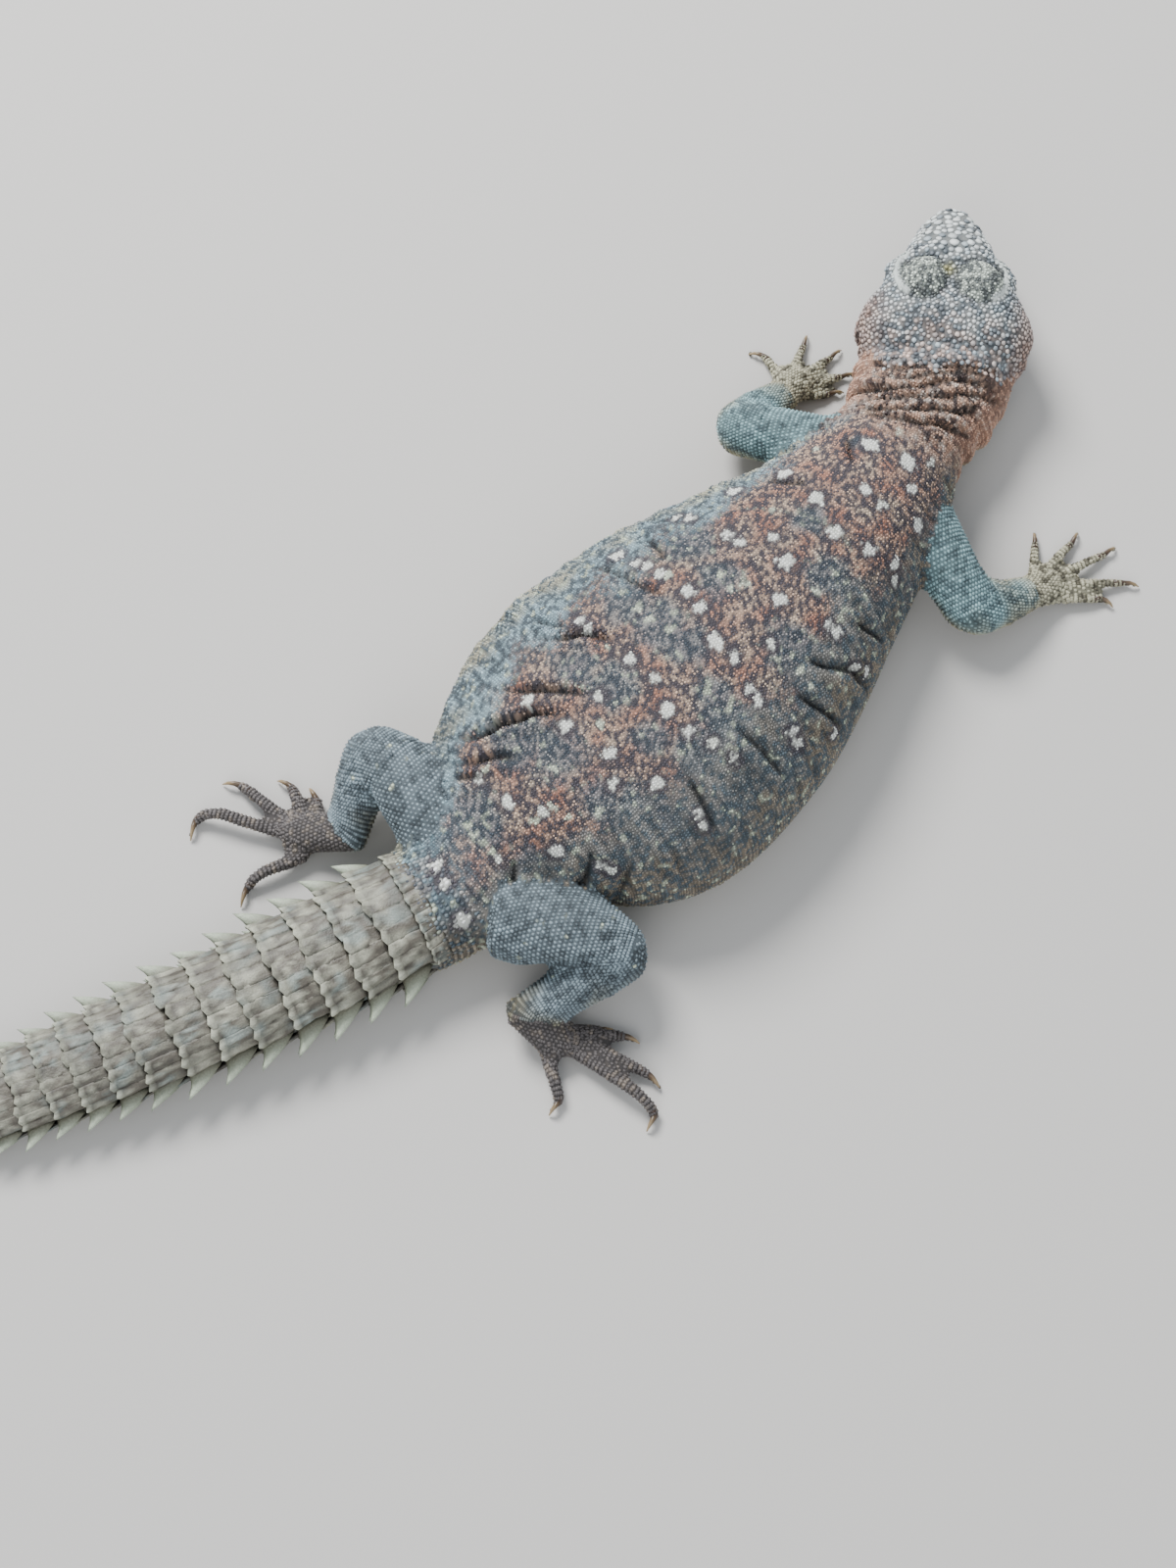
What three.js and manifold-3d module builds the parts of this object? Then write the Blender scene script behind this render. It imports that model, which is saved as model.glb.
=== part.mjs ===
// A life-size still model of a resting uromastyx, a fat spiny-tailed desert lizard.
// The belly, the soles and the underside of the tail lie on one level, z = 0.
// Millimetres. +X points from the tail to the head, +Y to the animal's left, +Z up.
// The origin is on the floor under the middle of the belly.

import * as THREE from "three";
import { mergeVertices } from "three/addons/utils/BufferGeometryUtils.js";
import Module from "manifold-3d";

const wasm = await Module();
wasm.setup();

// Driving dimensions

const GAP = 0.3; // between the faces of parts that meet

// Sections of the body, from the back of the skull to the tip of the tail, laid along its
// curve on the floor: place, half width, height of the back, height of the widest level,
// and how far the underside is held off the floor.
const SECTIONS = [
  { name: "skull", x: 98.2, y: 26.9, half: 15.6, back: 23.0, side: 10.5, lift: 1.8 },
  { name: "nape", x: 93.4, y: 21.8, half: 14.8, back: 22.0, side: 10.0, lift: 1.6 },
  { name: "collar", x: 87.0, y: 19.4, half: 15.4, back: 21.5, side: 9.0, lift: 1.1 },
  { name: "throat", x: 78.4, y: 15.8, half: 13.2, back: 23.0, side: 9.5, lift: 0.6 },
  { name: "shoulder", x: 69.2, y: 11.4, half: 15.4, back: 26.0, side: 10.5, lift: 0 },
  { name: "armpit", x: 52.0, y: 6.4, half: 20.4, back: 30.0, side: 11.0, lift: 0 },
  { name: "ribs", x: 36.0, y: 3.9, half: 26.4, back: 32.5, side: 11.0, lift: 0 },
  { name: "belly", x: 16.5, y: 1.2, half: 32.4, back: 34.0, side: 11.0, lift: 0 },
  { name: "flank", x: -3.5, y: -1.0, half: 34.5, back: 33.5, side: 11.0, lift: 0 },
  { name: "loin", x: -18.0, y: -0.9, half: 31.4, back: 31.0, side: 11.0, lift: 0 },
  { name: "groin", x: -29.2, y: -1.3, half: 24.6, back: 27.5, side: 11.0, lift: 0 },
  { name: "hips", x: -39.5, y: -3.0, half: 15.2, back: 23.5, side: 10.5, lift: 0 },
  { name: "vent", x: -49.5, y: -4.4, half: 12.6, back: 19.5, side: 9.0, lift: 0 },
  { name: "tail_root", x: -60.5, y: -2.9, half: 11.9, back: 16.8, side: 8.0, lift: 0 },
  { name: "whorl_4", x: -81.0, y: 0.8, half: 11.4, back: 15.5, side: 7.2, lift: 0 },
  { name: "whorl_7", x: -101.2, y: 5.3, half: 10.6, back: 14.0, side: 6.6, lift: 0 },
  { name: "whorl_10", x: -120.6, y: 10.4, half: 9.5, back: 12.2, side: 5.8, lift: 0 },
  { name: "whorl_13", x: -137.4, y: 15.2, half: 8.1, back: 10.4, side: 5.0, lift: 0 },
  { name: "whorl_17", x: -156.0, y: 21.8, half: 6.0, back: 8.0, side: 3.9, lift: 0 },
  { name: "whorl_22", x: -173.0, y: 29.4, half: 3.9, back: 5.4, side: 2.7, lift: 0 },
  { name: "tip", x: -188.0, y: 37.6, half: 1.5, back: 2.6, side: 1.3, lift: 0 },
];

const BACK_ROUND = { wide: 0.92, high: 0.96 };
const BELLY_ROUND = { wide: 0.78, high: 0.8, pan: 1.22 };
const NECK_ROLLS = { count: 4.5, depth: 0.75, from: 0.14, to: 0.7 };

// The head lies along its own line from the nape to the snout. Its sections, from the nape
// forward: distance, half width, crown, widest level, line of the mouth, and jaw.
const SNOUT = { x: 118.8, y: 48.4 };
const HEAD = [
  [0.0, 15.4, 22.4, 10.4, 7.6, 1.6],
  [2.5, 17.0, 23.0, 10.6, 7.6, 1.7],
  [6.0, 18.0, 23.6, 10.8, 7.7, 1.9],
  [10.0, 17.4, 23.8, 11.0, 7.9, 2.1],
  [14.0, 15.4, 23.6, 11.2, 7.6, 2.4],
  [18.0, 12.7, 23.2, 11.4, 7.2, 2.7],
  [22.5, 10.3, 21.8, 11.4, 7.2, 3.0],
  [27.0, 8.3, 19.2, 10.8, 7.5, 3.4],
  [31.0, 6.4, 16.6, 10.0, 7.9, 3.8],
  [34.2, 4.4, 14.2, 9.4, 8.1, 4.6],
  [36.0, 2.8, 12.4, 9.0, 8.2, 5.8],
  [36.8, 1.0, 10.2, 8.8, 8.2, 7.4],
];
const EYE = { forward: 16.2, aside: 9.2, height: 16.2, radius: 3.7 };
const LIDS = { long: 5.2, wide: 4.6, tall: 4.9 };
const LID_SLIT = { out: 4.2, drop: 0.3, long: 2.9, deep: 2.9, tall: 1.8 };
const EAR = { forward: 4.6, aside: 17.3, height: 11.2, tall: 3.6, wide: 1.2, deep: 2.6 };
const NOSTRIL = { forward: 33.4, aside: 3.6, height: 12.2, radius: 0.85 };
const MOUTH = { corner: 12.0, fade: 1.5, lip: 0.6, swell: 0.3, groove: -1.0, full: 3 };
const HEAD_ROUND = { wide: 0.8, crown: 0.78, chin: 0.86 };
const BROW = { forward: 15.0, aside: 0.44, rise: 1.5, long: 4.6, wide: 0.3 };
const TROUGH = { forward: 16.5, depth: 1.0, long: 7, wide: 0.16 };
const HOLLOW = { forward: 15.0, aside: 0.95, depth: 0.9, long: 4, wide: 0.09 };

// Whorls of the tail: length of the first ones, how many keep it, how many have their
// spines in pairs, the rear edge's flare, and how far ahead of the tail's own section they
// start. Each has keeled plates over the back.
const WHORLS = {
  count: 26, pitch: 7.0, even: 8, paired: 19, last: 2.8, sunk: -0.5, flare: 0.75, early: 2.4,
};
const PLATES = { count: 7, spacing: 0.062, keel: 0.9, back: 0.14 };
const SPINES = [
  { turn: 0.012, rise: 4.6, swept: 0.3 },
  { turn: -0.062, rise: 3.2, swept: 0.25 },
];
const SPINE_BASE = { across: 2.04, front: 0.12, sunk: 1.2, root: 3.4 };
const LOWEST_TIP = 0.4;

// Joints of each leg from the root inside the body to the palm, the toes' own paths from
// the inner one to the outer, and the tips of their claws. Heights are at mid bone.
const LEGS = {
  arm_left: {
    root: [66.0, 19.0, 13.5],
    bend: [52.8, 37.8, 9.0],
    end: [67.0, 38.8, 5.2],
    palm: [71.8, 41.0, 2.7],
    toes: [
      [[70.6, 38.0, 2.2], [73.6, 36.0, 2.0], [76.2, 34.8, 1.0]],
      [[72.4, 39.2, 2.2], [76.6, 37.8, 2.1], [80.4, 36.4, 1.0]],
      [[72.8, 40.6, 2.2], [77.4, 40.8, 2.2], [81.4, 41.0, 1.0]],
      [[72.0, 42.2, 2.2], [75.6, 44.4, 2.2], [78.8, 46.4, 1.0]],
      [[69.8, 42.6, 2.2], [70.6, 46.4, 2.1], [71.2, 49.4, 1.0]],
    ],
    claws: [[79.0, 33.4], [83.6, 35.0], [84.8, 41.2], [81.4, 48.2], [69.2, 52.2]],
  },
  arm_right: {
    root: [69.4, 1.0, 13.5],
    bend: [64.4, -21.6, 9.0],
    end: [77.4, -24.3, 5.2],
    palm: [82.2, -24.6, 2.7],
    toes: [
      [[81.8, -21.6, 2.2], [84.6, -18.6, 2.0], [87.2, -16.0, 1.0]],
      [[84.0, -22.6, 2.2], [88.6, -21.2, 2.1], [93.0, -20.4, 1.0]],
      [[85.0, -24.6, 2.2], [91.0, -25.4, 2.2], [96.6, -26.2, 1.0]],
      [[84.4, -26.4, 2.2], [90.2, -29.8, 2.2], [95.4, -33.2, 1.0]],
      [[81.8, -27.2, 2.2], [86.0, -30.6, 2.1], [89.8, -33.2, 1.0]],
    ],
    claws: [[88.8, -13.8], [95.8, -19.2], [99.6, -26.4], [97.6, -35.6], [90.6, -35.8]],
  },
  leg_left: {
    root: [-41.6, -2.0, 12.0],
    bend: [-44.6, 26.4, 13.6],
    end: [-57.6, 17.6, 6.0],
    palm: [-63.7, 24.0, 3.2],
    toes: [
      [[-60.4, 22.8, 2.6], [-58.8, 25.6, 2.6], [-57.4, 28.2, 1.2]],
      [[-62.2, 25.6, 2.6], [-60.8, 29.6, 2.8], [-59.6, 33.2, 1.2]],
      [[-64.4, 26.8, 2.6], [-65.8, 33.0, 3.0], [-67.0, 39.4, 1.2]],
      [[-65.6, 25.4, 2.6], [-71.2, 32.6, 3.4], [-75.0, 38.0, 3.2], [-78.0, 39.2, 1.2]],
      [[-65.2, 20.2, 2.6], [-70.6, 21.2, 2.8], [-75.4, 22.4, 2.8], [-78.4, 22.0, 1.2]],
    ],
    claws: [[-57.0, 31.4], [-61.0, 36.4], [-69.8, 42.4], [-81.4, 36.6], [-81.6, 19.8]],
  },
  leg_right: {
    root: [-45.0, -14.5, 12.5],
    bend: [-31.0, -35.6, 12.6],
    end: [-52.4, -31.8, 6.2],
    palm: [-50.4, -38.4, 3.2],
    toes: [
      [[-48.4, -37.8, 2.6], [-45.4, -39.8, 2.4], [-42.8, -41.4, 1.2]],
      [[-47.6, -39.2, 2.6], [-43.2, -42.8, 2.6], [-39.8, -45.2, 1.2]],
      [[-47.4, -41.0, 2.6], [-43.6, -48.4, 3.0], [-40.8, -53.8, 1.2]],
      [[-49.2, -41.6, 2.6], [-46.8, -49.6, 3.4], [-44.6, -57.2, 3.2], [-44.5, -60.6, 1.2]],
      [[-52.6, -38.2, 2.6], [-54.6, -41.6, 2.8], [-56.0, -45.4, 2.8], [-57.0, -47.6, 1.2]],
    ],
    claws: [[-40.2, -43.4], [-38.2, -48.0], [-40.6, -57.2], [-47.8, -62.0], [-60.2, -48.4]],
  },
};

// Half width and half height of the limbs where they start, swell, bend and end.
const ARM_SIZE = { root: [6.2, 6.0], swell: [5.8, 5.6], bend: [5.4, 5.2], end: [3.8, 3.4] };
const LEG_SIZE = { root: [9.4, 8.0], swell: [8.8, 7.4], bend: [5.4, 5.6], end: [4.4, 3.8] };
const HAND = { heel: [3.4, 2.6], palm: [4.4, 2.9], ball: [3.9, 2.7], toe: 1.45, tip: 1.05 };
const FOOT = { heel: [3.7, 3.0], palm: [4.2, 3.4], ball: [3.8, 3.0], toe: 1.8, tip: 1.3 };
const CLAW = { thick: 0.72, tip: 0.12, height: 0.3 };
const THIGH_ARCH = 1.2;
const BONE_END = [2, 2];

const COLOURS = {
  head: 0x9a9184, eye: 0x1a120c, neck: 0x8a5f45, torso: 0x5b4a40, root: 0x6d675c,
  tail: 0x98907a, upper: 0x5d6c70, lower: 0x6a6e62, foot: 0x8d8468,
};

// Small helpers

const flat = (x, y) => new THREE.Vector3(x, y, 0);
const point = (list) => new THREE.Vector3(...list);
const between = (a, b, share) => a.map((value, i) => value + (b[i] - value) * share);
const toward = (a, b) => point(b).sub(point(a)).normalize();
const cube = (size) => ({ x: size, y: size, z: size });

function power(value, exponent) {
  return Math.sign(value) * Math.abs(value) ** exponent;
}

function bell(value, centre, width) {
  const offset = (value - centre) / width;
  return Math.exp(-offset * offset);
}

function ease(low, high, value) {
  return THREE.MathUtils.smoothstep(value, low, high);
}

function steps(from, to, count) {
  return Array.from({ length: count + 1 }, (_, i) => from + ((to - from) * i) / count);
}

// Equal turns once round, as shares of a full turn.
const ring = (count) => steps(0, 1, count).slice(0, count);

// A solid from points and faces. One that comes out inside out is turned round.
function solid(points, faces) {
  const geometry = new THREE.BufferGeometry().setFromPoints(points);
  geometry.setIndex(faces);
  const merged = mergeVertices(geometry, 1e-4);
  const triVerts = new Uint32Array(merged.index.array);
  const vertProperties = merged.attributes.position.array;
  const made = new wasm.Manifold(new wasm.Mesh({ numProp: 3, vertProperties, triVerts }));
  if (made.volume() > 0) return made;
  for (let i = 0; i < triVerts.length; i += 3) {
    [triVerts[i + 1], triVerts[i + 2]] = [triVerts[i + 2], triVerts[i + 1]];
  }
  return new wasm.Manifold(new wasm.Mesh({ numProp: 3, vertProperties, triVerts }));
}

// A closed skin over rings of points; place(row, column) gives each point.
function loft(rows, columns, place) {
  const around = columns.length;
  const points = rows.flatMap((row) => columns.map((column) => place(row, column)));
  const last = (rows.length - 1) * around;
  const middle = (from) => {
    const sum = new THREE.Vector3();
    for (let k = 0; k < around; k += 1) sum.add(points[from + k]);
    return sum.divideScalar(around);
  };
  const firstCap = points.push(middle(0)) - 1;
  const lastCap = points.push(middle(last)) - 1;
  const faces = [];
  for (let k = 0; k < around; k += 1) {
    const next = (k + 1) % around;
    faces.push(firstCap, next, k, lastCap, last + k, last + next);
    for (let row = 0; row < last; row += around) {
      const [a, b, c, d] = [row + k, row + next, row + around + k, row + around + next];
      faces.push(a, b, d, a, d, c);
    }
  }
  return solid(points, faces);
}

// An egg of the given radii, turned by a heading, at a place.
function egg(place, radii, heading, around = 14, down = 10) {
  const turn = new THREE.Matrix4().makeRotationZ(heading).setPosition(place);
  return loft(steps(0.04, 0.96, down), ring(around), (lean, spin) => {
    const polar = new THREE.Spherical(1, lean * Math.PI, spin * 2 * Math.PI);
    const { x, y, z } = new THREE.Vector3().setFromSpherical(polar);
    return new THREE.Vector3(x * radii.x, z * radii.y, y * radii.z).applyMatrix4(turn);
  });
}

// A tube along a path; sizes gives half width and half height at each point of the path.
function tube(path, sizes, around, count) {
  const line = new THREE.CatmullRomCurve3(path.map(point));
  const sizeLine = new THREE.CatmullRomCurve3(sizes.map(([w, h]) => flat(w, h)));
  return loft(steps(0, 1, count), ring(around), (share, turn) => {
    const place = line.getPoint(share);
    const along = line.getTangent(share);
    const across = flat(along.y, -along.x).normalize();
    const up = across.clone().cross(along).normalize();
    const size = sizeLine.getPoint(share);
    const spin = turn * 2 * Math.PI;
    place.addScaledVector(across, Math.cos(spin) * size.x);
    place.addScaledVector(up, Math.sin(spin) * size.y);
    return place.setZ(Math.max(place.z, 0));
  });
}

function fuse(pieces) {
  return pieces.reduce((whole, piece) => whole.add(piece));
}

function largest(whole) {
  return whole.decompose().sort((a, b) => b.volume() - a.volume())[0];
}

// The body's curve, with its section sizes along the same curve

const spine = new THREE.CatmullRomCurve3(SECTIONS.map((s) => flat(s.x, s.y)));
const girth = new THREE.CatmullRomCurve3(
  SECTIONS.map((s) => new THREE.Vector3(s.half, s.back, s.side)),
);
const lifts = new THREE.CatmullRomCurve3(SECTIONS.map((s) => flat(s.lift, 0)));
spine.arcLengthDivisions = 800;
const spineLength = spine.getLength();
const stationAt = (length) => spine.getUtoTmapping(Math.min(length / spineLength, 0.9999));

// The length of the curve from its front end to a named section.
function lengthTo(name) {
  const index = SECTIONS.findIndex((s) => s.name === name);
  const lengths = spine.getLengths();
  return lengths[Math.round((index / (SECTIONS.length - 1)) * (lengths.length - 1))];
}

// A point on the body's skin, at a length along it and a share of a turn round it. The
// back is a low dome and the underside a flat pan. Proud lifts the back and sides only.
function bodyPoint(length, turn, grow = 0, proud = 0) {
  const station = stationAt(length);
  const place = spine.getPoint(station);
  const back = spine.getTangent(station);
  const left = flat(back.y, -back.x).normalize();
  const { x: half, y: top, z: side } = girth.getPoint(station);
  const lift = Math.max(lifts.getPoint(station).x, 0);
  const spin = turn * 2 * Math.PI;
  const above = Math.sin(spin) >= 0;
  const round = above ? BACK_ROUND : BELLY_ROUND;
  const rise = above ? top - side + grow + proud : (side - lift) * BELLY_ROUND.pan + grow;
  const wide = (half + grow + proud) * power(Math.cos(spin), round.wide);
  const high = side + rise * power(Math.sin(spin), round.high);
  return place.addScaledVector(left, wide).setZ(Math.max(high, lift - grow));
}

function bodyLength(from, to, count, around, grow) {
  return loft(steps(from, to, count), ring(around), (length, turn) =>
    bodyPoint(length, turn, grow));
}

// Head, with its brows, lids, ear openings, nostrils and the line between its lips

const nape = flat(SECTIONS[1].x, SECTIONS[1].y);
const heading = Math.atan2(SNOUT.y - nape.y, SNOUT.x - nape.x);
const headFrame = new THREE.Matrix4().makeRotationZ(heading).setPosition(nape);
const inHead = (x, y, z) => new THREE.Vector3(x, y, z).applyMatrix4(headFrame);
const headPlan = new THREE.CatmullRomCurve3(
  HEAD.map(([forward, half, crown]) => new THREE.Vector3(forward, half, crown)),
);
const headLevels = new THREE.CatmullRomCurve3(
  HEAD.map(([, , , level, mouth, jaw]) => new THREE.Vector3(level, mouth, jaw)),
);

// Columns round the head, from the left cheek over the crown, down the right cheek, over
// its lips, under the chin and up over the left lips.
const LIPS = [
  { rise: MOUTH.lip, swell: MOUTH.swell },
  { rise: 0, swell: MOUTH.groove },
  { rise: -MOUTH.lip, swell: MOUTH.swell },
];
const crownColumns = steps(0, 0.5, 12).map((turn) => ({ turn }));
const chinColumns = [0.67, 0.71, 0.75, 0.79, 0.83].map((turn) => ({ turn }));
const headColumns = [
  ...crownColumns,
  ...LIPS.map((lip) => ({ ...lip, side: -1 })),
  ...chinColumns,
  ...[...LIPS].reverse().map((lip) => ({ ...lip, side: 1 })),
];

function headPoint(share, { turn, rise, swell, side }) {
  const { x: forward, y: half, z: crown } = headPlan.getPoint(share);
  const { x: level, y: mouth, z: jaw } = headLevels.getPoint(share);
  if (side) {
    const height = mouth + rise;
    const below = THREE.MathUtils.clamp((level - height) / (level - jaw), 0, 1);
    const down = below ** (1 / HEAD_ROUND.chin);
    const open = ease(MOUTH.corner - MOUTH.fade, MOUTH.corner + MOUTH.fade, forward);
    const cheek = half * Math.sqrt(1 - down * down) ** HEAD_ROUND.wide;
    const wide = cheek + swell * open * Math.min(half / MOUTH.full, 1);
    return inHead(forward, side * wide, height);
  }
  const spin = turn * 2 * Math.PI;
  const aside = Math.cos(spin);
  if (turn > 0.5) {
    const high = level + (level - jaw) * power(Math.sin(spin), HEAD_ROUND.chin);
    return inHead(forward, half * power(aside, HEAD_ROUND.wide), high);
  }
  const brow = BROW.rise * bell(forward, BROW.forward, BROW.long)
    * bell(Math.abs(aside), BROW.aside, BROW.wide);
  const trough = TROUGH.depth * bell(forward, TROUGH.forward, TROUGH.long)
    * bell(aside, 0, TROUGH.wide);
  const hollow = HOLLOW.depth * bell(forward, HOLLOW.forward, HOLLOW.long)
    * bell(Math.abs(aside), HOLLOW.aside, HOLLOW.wide);
  const wide = (half - hollow) * power(aside, HEAD_ROUND.wide);
  const high = level + (crown - level + brow - trough) * power(Math.sin(spin), HEAD_ROUND.crown);
  return inHead(forward, wide, high);
}

function headSolid() {
  let head = loft(steps(0, 1, 25), headColumns, headPoint);
  [1, -1].forEach((side) => {
    const eye = inHead(EYE.forward, side * EYE.aside, EYE.height);
    const lids = { x: LIDS.long, y: LIDS.wide, z: LIDS.tall };
    const slit = inHead(EYE.forward, side * (EYE.aside + LID_SLIT.out), EYE.height - LID_SLIT.drop);
    const opening = { x: LID_SLIT.long, y: LID_SLIT.deep, z: LID_SLIT.tall };
    const ear = inHead(EAR.forward, side * EAR.aside, EAR.height);
    const hole = { x: EAR.wide, y: EAR.deep, z: EAR.tall };
    const nostril = inHead(NOSTRIL.forward, side * NOSTRIL.aside, NOSTRIL.height);
    head = head
      .add(egg(eye, lids, heading, 14, 8))
      .subtract(egg(eye, cube(EYE.radius + GAP), heading, 14, 10))
      .subtract(egg(slit, opening, heading, 14, 6))
      .subtract(egg(ear, hole, heading, 10, 6))
      .subtract(egg(nostril, cube(NOSTRIL.radius), heading, 8, 4));
  });
  return largest(head);
}

function eyeSolid(side) {
  const eye = inHead(EYE.forward, side * EYE.aside, EYE.height);
  return egg(eye, cube(EYE.radius), heading, 12, 8);
}

// Neck, with the loose rolls of skin behind the head, cut square by the head's back

const neckStart = lengthTo("nape");
const neckEnd = lengthTo("shoulder") - GAP / 2;

function neckSolid(grow = 0) {
  const rolls = loft(steps(lengthTo("skull"), neckEnd + grow, 26), ring(24), (length, turn) => {
    const share = (length - neckStart) / (neckEnd - neckStart);
    const fade = ease(0, NECK_ROLLS.from, share) * (1 - ease(NECK_ROLLS.to, 1, share));
    const wave = Math.sin(share * NECK_ROLLS.count * 2 * Math.PI);
    return bodyPoint(length, turn, grow, wave * NECK_ROLLS.depth * fade);
  });
  const backward = flat(-Math.cos(heading), -Math.sin(heading));
  return rolls.trimByPlane(backward.toArray(), backward.dot(nape) + GAP - grow);
}

// Torso, from the shoulders to the vent, and the plain root of the tail

const torsoStart = lengthTo("shoulder") + GAP / 2;
const torsoEnd = lengthTo("vent") - GAP / 2;
const torsoSolid = (grow = 0) => bodyLength(torsoStart - grow, torsoEnd + grow, 26, 32, grow);

const whorlStart = lengthTo("tail_root") - WHORLS.early;
const rootStart = lengthTo("vent") + GAP / 2;
const rootSolid = (grow = 0) => bodyLength(rootStart - grow, whorlStart - GAP / 2, 5, 26, grow);

// Tail: each whorl steps down at its front edge and flares to its rear edge, where the
// keels of its plates end in low points.

const spareLength = spineLength - whorlStart - WHORLS.even * WHORLS.pitch;
const taperCount = WHORLS.count - WHORLS.even;
const taper = ring(taperCount).map((share) => WHORLS.pitch + (WHORLS.last - WHORLS.pitch) * share);
const taperFit = spareLength / taper.reduce((sum, pitch) => sum + pitch);
const whorlEdges = [whorlStart];
for (let i = 0; i < WHORLS.count; i += 1) {
  const pitch = i < WHORLS.even ? WHORLS.pitch : taper[i - WHORLS.even] * taperFit;
  whorlEdges.push(whorlEdges[i] + pitch);
}

// Columns round the tail: an edge and a keel for each plate, then the plain underside.
const half = PLATES.count / 2;
const plateColumns = steps(-half, half, PLATES.count * 2).map((place, i) =>
  ({ turn: 0.25 + place * PLATES.spacing, keel: i % 2 }));
const underColumns = [0.5, 0.55, 0.61, 0.68, 0.75, 0.82, 0.89, 0.95, 1].map((turn) =>
  ({ turn, keel: 0 }));
const tailColumns = [...plateColumns, ...underColumns];

// The tail's size at a length, as a share of its size at the root.
const tailHalf = SECTIONS.find((s) => s.name === "tail_root").half;
const tailScale = (length) => girth.getPoint(stationAt(length)).x / tailHalf;

// The rows of one whorl: its sunk front edge and its flared rear edge.
function whorlRows(i, first, last) {
  const [front, rear] = [whorlEdges[i], whorlEdges[i + 1]];
  const rows = [
    { length: front + (i === first ? GAP / 2 : 0), proud: WHORLS.sunk, keel: 0.15 },
    { length: rear - (rear - front) * PLATES.back, proud: WHORLS.flare, keel: 1 },
  ];
  if (i === last - 1) rows.push({ length: rear - GAP / 2, proud: WHORLS.sunk, keel: 0 });
  return rows;
}

// One spine at the side: a four-sided thorn as long at the base as its whorl, whose point
// leans back over the whorl behind it.
function spineSolid(i, { turn, rise, swept }, mirrored) {
  const [front, rear] = [whorlEdges[i], whorlEdges[i + 1]];
  const pitch = rear - front;
  const at = mirrored ? 0.5 - turn : turn;
  const scale = tailScale(rear);
  const spread = SPINE_BASE.across / (2 * Math.PI * tailHalf);
  const foot = (length, place, out) => bodyPoint(length, place, 0, out * scale);
  const tip = foot(rear + pitch * swept, at, rise);
  const low = bodyPoint(rear, at).z;
  tip.setZ(Math.max(tip.z, low * 0.6, LOWEST_TIP));
  const points = [
    foot(front + pitch * SPINE_BASE.front, at, -SPINE_BASE.sunk * 0.4),
    foot((front + rear) / 2, at + spread, -SPINE_BASE.sunk),
    foot(rear - pitch * PLATES.back, at, -SPINE_BASE.sunk * 0.6),
    foot((front + rear) / 2, at - spread, -SPINE_BASE.sunk),
    tip,
    foot((front + rear) / 2, at, -SPINE_BASE.root),
  ];
  const faces = [0, 1, 4, 1, 2, 4, 2, 3, 4, 3, 0, 4, 1, 0, 5, 2, 1, 5, 3, 2, 5, 0, 3, 5];
  return solid(points, faces);
}

function whorlSolid(first, last) {
  const whorls = whorlEdges.slice(first, last).map((_, k) => first + k);
  const rows = whorls.flatMap((i) => whorlRows(i, first, last));
  const core = loft(rows, tailColumns, ({ length, proud, keel }, column) => {
    const scale = tailScale(length);
    const raised = proud + column.keel * keel * PLATES.keel;
    return bodyPoint(length, column.turn, 0, raised * scale);
  });
  const rowsAt = (i) => (i < WHORLS.paired ? SPINES : SPINES.slice(0, 1));
  const spines = whorls.flatMap((i) => rowsAt(i).flatMap((spineSize) =>
    [false, true].map((mirrored) => spineSolid(i, spineSize, mirrored))));
  return largest(fuse([core, ...spines]));
}

// Legs: each is an upper and a lower limb and a foot, which meet at planes across the joints

// The plane that halves the angle of a joint, facing the limb that comes before it.
function jointPlane(before, joint, after) {
  const normal = toward(joint, before).sub(toward(joint, after)).normalize();
  return { normal, level: normal.dot(point(joint)) };
}

const beforeJoint = (made, { normal, level }) =>
  made.trimByPlane(normal.toArray(), level + GAP / 2);
const afterJoint = (made, { normal, level }) =>
  made.trimByPlane(normal.clone().negate().toArray(), -level + GAP / 2);

function upperSolid({ root, bend }, size, joint) {
  const swell = between(root, bend, 0.55);
  swell[2] += THIGH_ARCH;
  const past = between(bend, root, -0.1);
  const rounded = between(size.bend, BONE_END, 0.5);
  const limb = tube([root, swell, bend, past], [size.root, size.swell, size.bend, rounded], 12, 9);
  return beforeJoint(limb, joint);
}

function lowerSolid({ bend, end }, size, joint, wrist) {
  const rounded = between(size.bend, BONE_END, 0.5);
  const calf = between(size.bend, size.end, 0.35);
  const path = [between(bend, end, -0.1), bend, between(bend, end, 0.5), end];
  const past = between(bend, end, 1.12);
  const limb = tube([...path, past], [rounded, size.bend, calf, size.end, size.end], 12, 9);
  return beforeJoint(afterJoint(limb, joint), wrist);
}

function clawSolid(from, base, [x, y], size) {
  const tip = [x, y, CLAW.height];
  const arch = between(base, tip, 0.45);
  arch[2] = base[2] + size * 0.5;
  const path = [between(base, from, 0.4), base, arch, tip];
  const slim = [size * 0.72, size * 0.8];
  return tube(path, [[size, size], [size, size], slim, [CLAW.tip, CLAW.tip]], 5, 4);
}

function toeSolids(leg, size) {
  return leg.toes.flatMap((toe, i) => {
    const path = [between(toe[0], leg.palm, 0.5), ...toe];
    const sizes = path.map((_, k) => {
      const radius = size.toe + ((size.tip - size.toe) * k) / (path.length - 1);
      return [radius, radius];
    });
    const [before, base] = path.slice(-2);
    const claw = clawSolid(before, base, leg.claws[i], size.tip * CLAW.thick);
    return [tube(path, sizes, 6, path.length + 1), claw];
  });
}

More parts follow.
